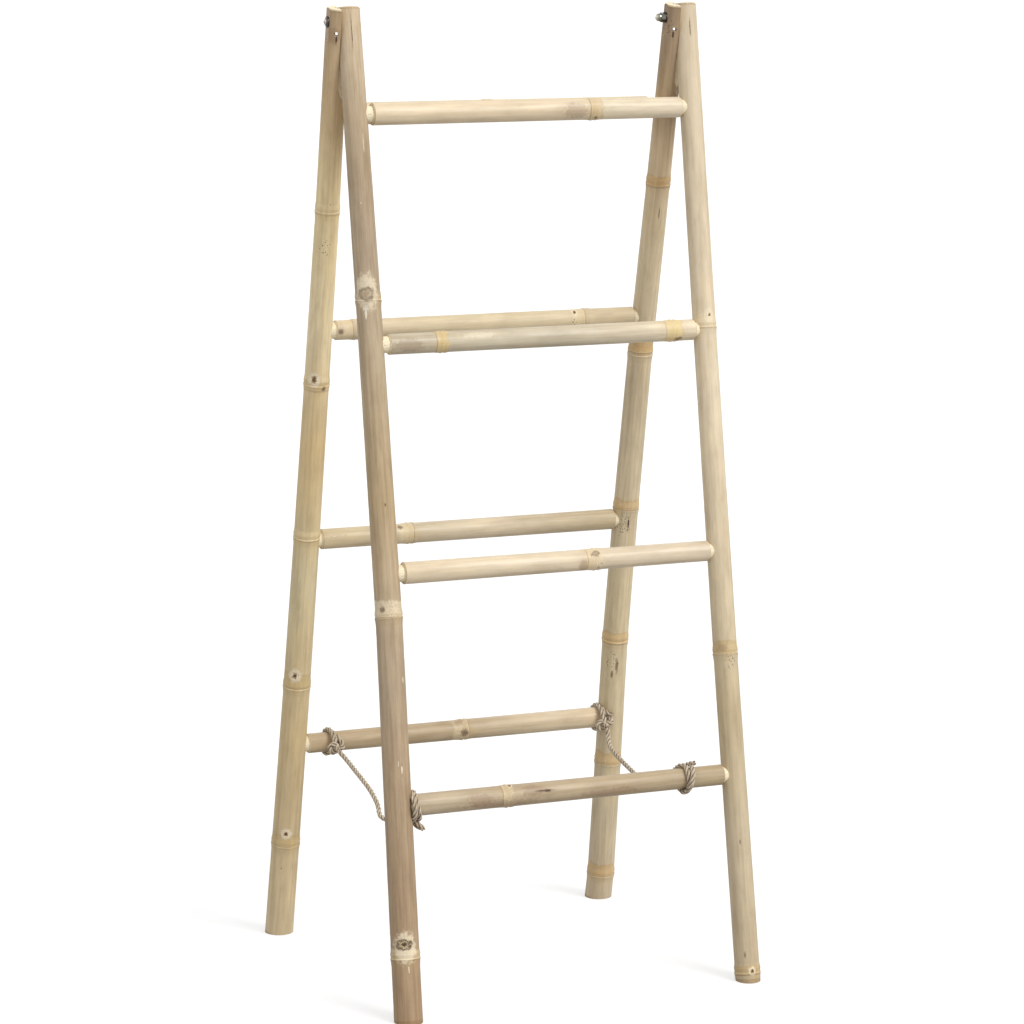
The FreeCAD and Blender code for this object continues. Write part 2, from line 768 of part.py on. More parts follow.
def least_self_gap(edges):
    """The least gap between stretches of one rope that are three diameters or more apart."""
    spots, walked = [], 0.0
    for edge in edges:
        steps = max(2, int(edge.Length / 1.5))
        low, high = edge.FirstParameter, edge.LastParameter
        for step in range(steps):
            share = step / steps
            spots.append((walked + edge.Length * share, edge.valueAt(low + (high - low) * share)))
        walked += edge.Length
    return min(
        (one - other).Length for at, one in spots for there, other in spots
        if there - at > 6 * ROPE_RADIUS) - 2 * ROPE_RADIUS


rope_ends = {}
for name, facts in LASHINGS.items():
    points = lashing_points(name)
    ways = tangents(points)
    head, tail = points[0] - ways[0] * ROPE_LEAD, points[-1] + ways[-1] * ROPE_LEAD
    edges = [Part.makeLine(head, points[0])]
    for start, way_out, end, way_in in zip(points, ways, points[1:], ways[1:]):
        edges += biarc(start, way_out, end, way_in)
    edges.append(Part.makeLine(points[-1], tail))
    print("%s lashing: least gap to itself %.2f mm, tightest bend %.1f mm" % (
        name, least_self_gap(edges),
        min(edge.Curve.Radius for edge in edges if hasattr(edge.Curve, "Radius"))))
    tube(name + "_lashing", edges)
    # the free rope leaves a back lashing by its tail and comes in to a front lashing's head
    rope_ends[name] = (head, ways[0]) if name.startswith("front") else (tail, ways[-1])

for side, middle in ROPES.items():
    (start, way_out), (end, way_in) = rope_ends["back_" + side], rope_ends["front_" + side]
    middle = [Vector(*point) for point in middle]
    share = number("Dims.rope_lead_share")
    first_run, last_run = (middle[0] - start).Length * share, (end - middle[-1]).Length * share
    route = [start, start + way_out * first_run] + middle + [end - way_in * last_run, end]
    edges, here, bends = [], route[0], []
    for before, corner, after in zip(route, route[1:], route[2:]):
        into, onward = corner - before, after - corner
        take = 0.45 * min(into.Length, onward.Length)
        bends.append(take / math.tan(into.getAngle(onward) / 2))
        enter = corner - into.normalize() * take
        leave = corner + onward.normalize() * take
        edges += [Part.makeLine(here, enter), arc_between(enter, corner, leave)]
        here = leave
    edges.append(Part.makeLine(here, route[-1]))
    print("%s rope: bend radii %s, runs %s, points %s" % (
        side, [round(bend) for bend in bends],
        [round((after - before).Length) for before, after in zip(route, route[1:])],
        [tuple(round(v, 1) for v in point) for point in route]))
    tube(side + "_rope", edges)

# ---------------------------------------------------------------------------
# Check and write
# ---------------------------------------------------------------------------

doc.recompute()
faults = [item.Name for item in doc.Objects if {"Invalid", "Error"} & set(item.State)]
if faults:
    raise RuntimeError("objects with errors: %s" % faults)

os.makedirs("parts", exist_ok=True)
for name, thing in nodes.items():
    shape = thing.Shape
    if shape.isNull() or not shape.isValid() or len(shape.Solids) != 1:
        raise RuntimeError("%s is null, invalid or %d solids" % (name, len(shape.Solids)))
    shape.exportStep("parts/%s.step" % name)
    box = shape.BoundBox
    print("%-20s %9.0f mm3  X %.1f %.1f  Y %.1f %.1f  Z %.1f %.1f" % (
        name, shape.Volume, box.XMin, box.XMax, box.YMin, box.YMax, box.ZMin, box.ZMax))
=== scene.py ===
"""Looks of a bamboo A-frame blanket ladder, in metres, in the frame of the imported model."""
import math

import bpy
from mathutils import Matrix, Vector


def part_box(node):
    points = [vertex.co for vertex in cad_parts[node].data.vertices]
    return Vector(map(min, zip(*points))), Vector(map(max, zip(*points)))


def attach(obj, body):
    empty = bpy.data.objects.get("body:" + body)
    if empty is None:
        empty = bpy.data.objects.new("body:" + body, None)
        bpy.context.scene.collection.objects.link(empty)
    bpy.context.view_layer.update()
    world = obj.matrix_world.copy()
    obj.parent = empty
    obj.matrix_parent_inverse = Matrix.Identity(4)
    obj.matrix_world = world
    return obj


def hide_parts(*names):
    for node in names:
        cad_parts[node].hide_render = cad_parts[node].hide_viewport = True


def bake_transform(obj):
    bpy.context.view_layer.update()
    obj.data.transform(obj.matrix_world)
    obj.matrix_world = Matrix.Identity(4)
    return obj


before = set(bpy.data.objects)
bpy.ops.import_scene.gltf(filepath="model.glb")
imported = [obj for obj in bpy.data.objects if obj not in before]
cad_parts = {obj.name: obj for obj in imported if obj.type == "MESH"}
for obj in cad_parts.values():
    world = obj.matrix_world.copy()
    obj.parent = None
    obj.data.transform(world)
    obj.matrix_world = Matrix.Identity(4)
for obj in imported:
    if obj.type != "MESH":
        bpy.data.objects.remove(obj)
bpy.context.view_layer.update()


def link_object(name, data):
    """A new object of this data, in the scene."""
    made = bpy.data.objects.new(name, data)
    bpy.context.scene.collection.objects.link(made)
    return made


# ---------------------------------------------------------------------------
# Camera
# ---------------------------------------------------------------------------

CAMERA_POSITION = Vector((-2.1210, -5.1195, 1.7207))
CAMERA_YAW, CAMERA_PITCH, CAMERA_ROLL = -0.39308, -0.18095, 0.00647
CAMERA_LENS, SENSOR_WIDTH = 129.0, 36.0
CLIP_START, CLIP_END = 0.1, 200


def make_camera():
    forward = Vector((
        -math.sin(CAMERA_YAW) * math.cos(CAMERA_PITCH),
        math.cos(CAMERA_YAW) * math.cos(CAMERA_PITCH),
        math.sin(CAMERA_PITCH)))
    level = Vector((math.cos(CAMERA_YAW), math.sin(CAMERA_YAW), 0))
    up = level.cross(forward)
    right = math.cos(CAMERA_ROLL) * level + math.sin(CAMERA_ROLL) * up
    up = right.cross(forward)
    data = bpy.data.cameras.new("camera")
    data.lens, data.sensor_width = CAMERA_LENS, SENSOR_WIDTH
    data.clip_start, data.clip_end = CLIP_START, CLIP_END
    camera = link_object("camera", data)
    rotation = Matrix((right, up, -forward)).transposed()
    camera.matrix_world = Matrix.Translation(CAMERA_POSITION) @ rotation.to_4x4()
    bpy.context.scene.camera = camera


make_camera()

# ---------------------------------------------------------------------------
# Node graphs
# ---------------------------------------------------------------------------

# how much darker the dark parts of a mottled tint are
DARKER = 0.72


def linear(tint):
    """A display colour, 0 to 255, as the linear colour that shaders take."""
    def channel(value):
        value /= 255
        return value / 12.92 if value <= 0.04045 else ((value + 0.055) / 1.055) ** 2.4
    return tuple(channel(value) for value in tint)


def darker(tint):
    return tuple(DARKER * channel for channel in linear(tint))


class Graph:
    """The nodes of a material or a world. Each call adds nodes and returns the last output."""

    def __init__(self, owner):
        owner.use_nodes = True
        self.owner, self.tree = owner, owner.node_tree
        self.tree.nodes.clear()

    def put(self, socket, value):
        """Links the socket to an output, or sets it to a number or a colour."""
        if isinstance(value, bpy.types.NodeSocket):
            self.tree.links.new(value, socket)
        elif isinstance(value, (tuple, list, Vector)) and len(value) == 3 and socket.type == "RGBA":
            socket.default_value = (*value, 1)
        else:
            socket.default_value = value

    def node(self, kind, inputs=(), output=0, **settings):
        made = self.tree.nodes.new(kind)
        for key, value in settings.items():
            setattr(made, key, value)
        for key, value in dict(inputs).items():
            self.put(made.inputs[key], value)
        return made.outputs[output] if made.outputs else None

    def math(self, operation, a, b=0.0, c=0.0):
        return self.node("ShaderNodeMath", {0: a, 1: b, 2: c}, operation=operation)

    def hypotenuse(self, a, b):
        return self.math("SQRT", self.math(
            "ADD", self.math("MULTIPLY", a, a), self.math("MULTIPLY", b, b)))

    def vector(self, operation, a, b=(0, 0, 0)):
        output = "Value" if operation in ("DOT_PRODUCT", "LENGTH") else "Vector"
        return self.node("ShaderNodeVectorMath", {0: a, 1: b}, output, operation=operation)

    def combine(self, x, y, z):
        return self.node("ShaderNodeCombineXYZ", {0: x, 1: y, 2: z})

    def place(self):
        """The point on the piece, in its own coordinates, which are the frame's."""
        return self.node("ShaderNodeTexCoord", output="Object")

    def noise(self, at, scale, detail=2.0, roughness=0.5, distortion=0.0):
        return self.node(
            "ShaderNodeTexNoise",
            {"Vector": at, "Scale": scale, "Detail": detail, "Roughness": roughness,
             "Distortion": distortion})

    def span(self, value, low, high, start=0.0, end=1.0, smooth=True):
        """start below low and end above high, and between them in between."""
        return self.node(
            "ShaderNodeMapRange", {0: value, 1: low, 2: high, 3: start, 4: end},
            interpolation_type="SMOOTHSTEP" if smooth else "LINEAR")

    def bell(self, distance, width):
        """1 at no distance, falling to 0 as distance passes width either way."""
        ratio = self.math("DIVIDE", distance, width)
        return self.math("EXPONENT", self.math("MULTIPLY", self.math("MULTIPLY", ratio, ratio), -1))

    def mix(self, share, a, b, blend="MIX"):
        mixed = self.tree.nodes.new("ShaderNodeMix")
        mixed.data_type, mixed.blend_type = "RGBA", blend
        for key, value in ((0, share), (6, a), (7, b)):
            self.put(mixed.inputs[key], value)
        return mixed.outputs[2]

    def shade(self, share, colour, factor):
        """The colour, multiplied by the factor where the share is 1."""
        return self.mix(share, colour, self.mix(1.0, colour, factor, "MULTIPLY"))

    def ramp(self, value, stops):
        """A linear colour for each value, from stops of (value, linear colour)."""
        made = self.tree.nodes.new("ShaderNodeValToRGB")
        self.put(made.inputs[0], value)
        elements = made.color_ramp.elements
        while len(elements) < len(stops):
            elements.new(1.0)
        for element, (place, colour) in zip(elements, stops):
            element.position, element.color = place, (*colour, 1)
        return made.outputs[0]

    def tints(self, value, stops):
        """The same from stops of (value, display colour)."""
        return self.ramp(value, [(place, linear(tint)) for place, tint in stops])

    def levels(self, value, stops):
        """The same from stops of (value, grey level)."""
        return self.ramp(value, [(place, (level,) * 3) for place, level in stops])

    def bump(self, height, strength, distance):
        return self.node(
            "ShaderNodeBump", {"Height": height, "Strength": strength, "Distance": distance})

    def finish(self, colour, roughness, normal=None, **extra):
        inputs = {"Base Color": colour, "Roughness": roughness, **extra}
        if normal is not None:
            inputs["Normal"] = normal
        shader = self.node("ShaderNodeBsdfPrincipled", inputs)
        self.node("ShaderNodeOutputMaterial", {"Surface": shader})
        return self.owner


def material_graph(name):
    return Graph(bpy.data.materials.new(name))


# ---------------------------------------------------------------------------
# Ropes
# ---------------------------------------------------------------------------

# routes of the two free ropes, from the back lashings to the front ones, in metres
LEFT_ROUTE = [
    (-0.2280, 0.1490, 0.3150), (-0.2246, 0.1360, 0.3093), (-0.2233, 0.1145, 0.3041),
    (-0.2245, 0.0815, 0.2985), (-0.2258, 0.0465, 0.2935), (-0.2262, 0.0165, 0.2873),
    (-0.2280, -0.0125, 0.2804), (-0.2300, -0.0360, 0.2715), (-0.2358, -0.0560, 0.2622),
    (-0.2339, -0.0785, 0.2617), (-0.2301, -0.1185, 0.2670), (-0.2271, -0.1525, 0.2770),
    (-0.2240, -0.1728, 0.2868), (-0.2270, -0.1942, 0.2916)]
RIGHT_ROUTE = [
    (0.2335, 0.1510, 0.3110), (0.2318, 0.1430, 0.3000), (0.2258, 0.1270, 0.2894),
    (0.2212, 0.0955, 0.2846), (0.2191, 0.0635, 0.2800), (0.2178, 0.0295, 0.2751),
    (0.2154, -0.0065, 0.2715), (0.2104, -0.0405, 0.2730), (0.2079, -0.0725, 0.2795),
    (0.2064, -0.1045, 0.2895), (0.2049, -0.1345, 0.3025), (0.2038, -0.1580, 0.3131),
    (0.2031, -0.1796, 0.3270)]
ROPE_DIAMETER = 0.008

# three strands fill the rope's round, and lie once round it in each pitch
STRANDS = 3
STRAND_RADIUS = ROPE_DIAMETER / 2 / (1 + 2 / math.sqrt(3))
STRAND_ORBIT = ROPE_DIAMETER / 2 - STRAND_RADIUS
STRAND_PITCH = 0.031
STRAND_SIDES = 10
# a strand's radius swells by this share, in waves along it, and shrinks at its two last rings
STRAND_SWELL = 0.05
SWELL_WAVES = 700
STRAND_TAPER = (0.6, 0.85)

LINE_STEP = 0.0012
SPLINE_STEPS = 10
# the turn between two points of a hitch, in degrees
HITCH_STEP = 36

# the lashings: the rung's axis (Y, Z) and radius, the place along X, and the way round it as
# (angle in degrees, shift along X, lift off the rung). The rope clears the rung by RUNG_GAP.
RUNG_GAP = 0.0007
BACK_RUNG_AXIS = (0.1961, 0.3193)
FRONT_RUNG_AXIS = (-0.1980, 0.3143)
LASHINGS = {
    "back_left": (BACK_RUNG_AXIS, 0.0158, -0.2311, [
        (79, .015, .005), (92, .008, .002), (122, .001, .0003), (180, -.001, 0),
        (225, -.002, 0), (270, -.001, 0), (315, .001, 0), (355, .0035, .0005),
        (400, .004, .003), (431, .0035, .0075), (450, .003, .016)]),
    "back_right": (BACK_RUNG_AXIS, 0.0164, 0.2319, [
        (68, .0165, .006), (84, .009, .002), (118, .002, 0), (180, 0, 0), (225, 0, 0),
        (270, .001, 0), (315, .002, 0), (355, .003, .0005), (400, .0025, .003),
        (436, .002, .0075), (456, .002, .016)]),
    "front_left": (FRONT_RUNG_AXIS, 0.0165, -0.2311, [
        (168, .003, 0), (135, .0005, 0), (90, -.0045, 0), (40, -.006, 0), (0, -.0032, 0),
        (-45, -.0045, 0), (-90, -.0055, 0), (-132, -.005, .005), (-165, -.001, .011),
        (-186, .007, .015)]),
    "front_right": (FRONT_RUNG_AXIS, 0.0160, 0.2079, [
        (-33, -.006, 0), (5, .0005, .0005), (48, -.0025, .0005), (90, -.001, 0), (135, 0, 0),
        (180, .0012, 0), (225, .003, 0), (270, .0045, 0), (312, .006, 0),
        (350, .0072, .0005), (374, .0085, .004), (386, .011, .0085)]),
}

# the rest of each knot, which belongs to its lashing. A hitch is a turn of rope round a place:
# (middle, radius, first angle and turn in degrees, drift along Y over the turn)
HITCHES = {
    "back_left": [((-.2318, .1630, .3165), .0068, 60, 430, -.0030)],
    "back_right": [((.2288, .1660, .3128), .0060, 20, 380, -.0030)],
}
# more rope of each knot, as the points of its lines
KNOTS = {
    "back_left": [
        # the frayed end, from the top of the rung down beside the hitch
        [(-.2282, .1840, .3392), (-.2245, .1740, .3345), (-.2190, .1670, .3275),
         (-.2160, .1630, .3210), (-.2180, .1590, .3165), (-.2240, .1580, .3150)],
    ],
    "back_right": [
        # a second strand from the top of the rung to the dark end
        [(.2378, .1900, .3350), (.2395, .1800, .3342), (.2420, .1720, .3300),
         (.2455, .1670, .3280), (.2485, .1640, .3315)],
        # a turn across the front, over the others
        [(.2290, .1740, .3140), (.2310, .1640, .3168), (.2360, .1580, .3172),
         (.2420, .1575, .3150), (.2462, .1610, .3175), (.2470, .1670, .3225),
         (.2440, .1720, .3250)],
    ],
    "front_left": [
        # a second turn beside the first one
        [(-.2440, -.1780, .3190), (-.2432, -.1830, .3300), (-.2424, -.1980, .3362),
         (-.2416, -.2120, .3322), (-.2408, -.2196, .3200), (-.2404, -.2200, .3070),
         (-.2396, -.2120, .2955), (-.2388, -.1980, .2922), (-.2380, -.1830, .2970),
         (-.2375, -.1765, .3080)],
        # its end, which hangs down from under the rung
        [(-.2335, -.2010, .2905), (-.2298, -.2030, .2865), (-.2250, -.2030, .2818),
         (-.2205, -.2020, .2765)],
    ],
    "front_right": [
        # the end comes down across the front from the top right and lies on the first turn
        [(.2178, -.2010, .3375), (.2148, -.2110, .3335), (.2112, -.2215, .3250),
         (.2078, -.2252, .3140), (.2055, -.2225, .3045), (.2045, -.2110, .2958),
         (.2045, -.1960, .2925), (.2055, -.1830, .2965)],
    ],
}


def nurbs_line(name, points):
    """The smooth line of one open spline with these control points, as closely spaced points."""
    curve = bpy.data.curves.new(name, "CURVE")
    curve.dimensions = "3D"
    spline = curve.splines.new("NURBS")
    spline.points.add(len(points) - 1)
    for point, place in zip(spline.points, points):
        point.co = (*place, 1)
    spline.order_u = 3
    spline.use_endpoint_u = True
    spline.resolution_u = SPLINE_STEPS
    holder = link_object(name, curve)
    mesh = bpy.data.meshes.new_from_object(holder)
    line = [vertex.co.copy() for vertex in mesh.vertices]
    bpy.data.objects.remove(holder)
    bpy.data.curves.remove(curve)
    bpy.data.meshes.remove(mesh)
    return line


def evenly(line):
    """The same line with points at even steps of about LINE_STEP."""
    total = sum((b - a).length for a, b in zip(line, line[1:]))
    count = max(2, round(total / LINE_STEP))
    out, at, run = [line[0].copy()], 0.0, 0
    for index in range(1, count):
        goal = total * index / count
        while at + (line[run + 1] - line[run]).length < goal:
            at += (line[run + 1] - line[run]).length
            run += 1
        share = (goal - at) / (line[run + 1] - line[run]).length
        out.append(line[run].lerp(line[run + 1], share))
    return out + [line[-1].copy()]


def carried_frames(line):
    """Tangent and two side vectors at each point, which turn no more than the line does."""
    tangents = []
    for index in range(len(line)):
        a, b = line[max(0, index - 1)], line[min(len(line) - 1, index + 1)]
        tangents.append((b - a).normalized())
    side = tangents[0].orthogonal().normalized()
    frames = []
    for tangent in tangents:
        side = (side - tangent * side.dot(tangent)).normalized()
        frames.append((tangent, side, tangent.cross(side)))
    return frames


def rope_line(name, points):
    return evenly(nurbs_line(name, points))


def strand_line(line, frames, lengths, strand):
    """The middle of one strand, which winds about the rope's line."""
    centres = []
    for place, length, (_, side, other) in zip(line, lengths, frames):
        turn = 2 * math.pi * (length / STRAND_PITCH + strand / STRANDS)
        centres.append(place + STRAND_ORBIT * (math.cos(turn) * side + math.sin(turn) * other))
    return centres


def rope_mesh(name, lines, start=0.0):
    """One mesh of laid strands about each line, whose lay begins at a length start."""
    vertices, faces, lay, around, crest = [], [], [], [], []

    def add_strand(line, lengths, centres, strand):
        first, last = len(vertices), len(centres) - 1
        for index, (_, side, other) in enumerate(carried_frames(centres)):
            wave = math.sin(lengths[index] * SWELL_WAVES + 2 * strand)
            swell = STRAND_RADIUS * (1.0 + STRAND_SWELL * wave)
            from_end = min(index, last - index)
            swell *= STRAND_TAPER[from_end] if from_end < len(STRAND_TAPER) else 1.0
            for corner in range(STRAND_SIDES):
                angle = 2 * math.pi * corner / STRAND_SIDES
                vertex = centres[index] + swell * (
                    math.cos(angle) * side + math.sin(angle) * other)
                vertices.append(vertex)
                lay.append(lengths[index])
                around.append(corner / STRAND_SIDES + strand)
                crest.append((vertex - line[index]).length / (ROPE_DIAMETER / 2))
        for index in range(last):
            for corner in range(STRAND_SIDES):
                a = first + index * STRAND_SIDES + corner
                b = first + index * STRAND_SIDES + (corner + 1) % STRAND_SIDES
                faces.append((a, b, b + STRAND_SIDES, a + STRAND_SIDES))
        faces.append(tuple(first + corner for corner in reversed(range(STRAND_SIDES))))
        faces.append(tuple(first + last * STRAND_SIDES + corner for corner in range(STRAND_SIDES)))

    for line in lines:
        lengths = [start]
        for a, b in zip(line, line[1:]):
            lengths.append(lengths[-1] + (b - a).length)
        frames = carried_frames(line)
        for strand in range(STRANDS):
            add_strand(line, lengths, strand_line(line, frames, lengths, strand), strand)
    mesh = bpy.data.meshes.new(name)
    mesh.from_pydata(vertices, [], faces)
    for key, values in (("lay", lay), ("around", around), ("crest", crest)):
        mesh.attributes.new(key, "FLOAT", "POINT").data.foreach_set("value", values)
    mesh.polygons.foreach_set("use_smooth", [True] * len(mesh.polygons))
    return link_object(name, mesh)


# fibres: their noise's scale along a strand and round it, and their display colours
FIBRE_ALONG, FIBRE_ROUND = 170, 15
FIBRE_TINTS = [
    (0.26, (128, 106, 82)), (0.42, (178, 160, 134)), (0.56, (202, 187, 162)),
    (0.76, (226, 214, 194))]
BLOTCH_FACTOR = (0.62, 0.52, 0.42)
# the colour of the painted shade in the grooves between the strands
GROOVE_SHADE_TINT = (104, 84, 62)
FIBRE_DEPTH = 0.0007


def rope_material():
    """Twisted fibre: pale and fuzzy on the crests of the strands, with painted shade in the grooves
    between them.
    """
    graph = material_graph("rope")
    lay, around, crest = (
        graph.node("ShaderNodeAttribute", attribute_name=key, output="Fac")
        for key in ("lay", "around", "crest"))
    fibre = graph.noise(graph.combine(
        graph.math("MULTIPLY", lay, FIBRE_ALONG), graph.math("MULTIPLY", around, FIBRE_ROUND), 0),
        1.0, 3, 0.65, 0.4)
    blotch = graph.noise(graph.place(), 70, 3, 0.6)
    colour = graph.shade(
        graph.span(blotch, 0.4, 0.7, 0.0, 0.5), graph.tints(fibre, FIBRE_TINTS), BLOTCH_FACTOR)
    # painted shade: darker towards the grooves between the strands, where the crest is low
    groove_shade = graph.span(graph.math("MULTIPLY_ADD", fibre, 0.14, crest), 0.78, 0.98, 0.72, 0.0)
    colour = graph.mix(groove_shade, colour, linear(GROOVE_SHADE_TINT))
    return graph.finish(colour, 0.92, graph.bump(fibre, 0.9, FIBRE_DEPTH),
                        **{"Sheen Weight": 0.25, "Sheen Roughness": 0.6})


def lashing_points(name):
    (y, z), radius, along, way = LASHINGS[name]
    points = []
    for angle, shift, lift in way:
        turn, off = math.radians(angle), radius + RUNG_GAP + ROPE_DIAMETER / 2 + lift
        points.append(Vector((along + shift, y - off * math.sin(turn), z + off * math.cos(turn))))
    return points


def hitch_points(middle, radius, first, turn, drift):
    """Points round a middle in the XZ plane, a turn that drifts along Y."""
    count = max(4, round(abs(turn) / HITCH_STEP))
    points = []
    for index in range(count + 1):
        angle = math.radians(first + turn * index / count)
        points.append(Vector(middle) + Vector((
            radius * math.cos(angle), drift * index / count, radius * math.sin(angle))))
    return points


def make_ropes():
    material = rope_material()
    for side, route in (("left", LEFT_ROUTE), ("right", RIGHT_ROUTE)):
        back, front = "back_" + side, "front_" + side
        # each lashing's line meets the end of the free rope
        lines = {
            back: rope_line(back, lashing_points(back) + [Vector(route[0])]),
            side: rope_line(side, route),
            front: rope_line(front, [Vector(route[-1])] + lashing_points(front)),
        }
        start = 0.0
        for key in (back, side, front):
            line = lines[key]
            node = key + ("_rope" if key == side else "_lashing")
            ties = [hitch_points(*hitch) for hitch in HITCHES.get(key, ())]
            ties = [rope_line(node, tie) for tie in ties + KNOTS.get(key, [])]
            piece = rope_mesh(node + "_strands", [line] + ties, start)
            piece.data.materials.append(material)
            start += sum((b - a).length for a, b in zip(line, line[1:]))
            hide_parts(node)
            if key == side:
                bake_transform(piece)
            else:
                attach(piece, key.split("_")[0] + "_frame")


make_ropes()

# ---------------------------------------------------------------------------
# Bamboo
# ---------------------------------------------------------------------------

HALF_ANGLE = math.radians(9.8)
HINGE = Vector((0.000925, -0.0005, 1.457418))
# from the hinge along a pole's axis to the floor
REACH = 1.479
# the length that a rung's facts are laid out along, and how far its ridges stand off its skin
RUNG_REACH = 0.56
RUNG_SKIN_INSET = 0.0012
POLE_GLOSS, RUNG_GLOSS = 0.46, 0.43
# the shift of each culm's noises: of the first one, and from one to the next
POLE_SEEDS, RUNG_SEEDS = (3.7, 5.3), (31.1, 4.9)

PALE = (224, 209, 180)
CREAM = (226, 206, 166)
TAN = (186, 156, 98)
ORANGE = (196, 154, 88)
BROWN = (120, 90, 62)
DARK = (58, 42, 32)
RIM_TINT = (132, 100, 62)
GRAIN_TINTS = [(0.3, (182, 160, 122)), (0.45, (230, 216, 184)), (0.7, (242, 232, 206))]
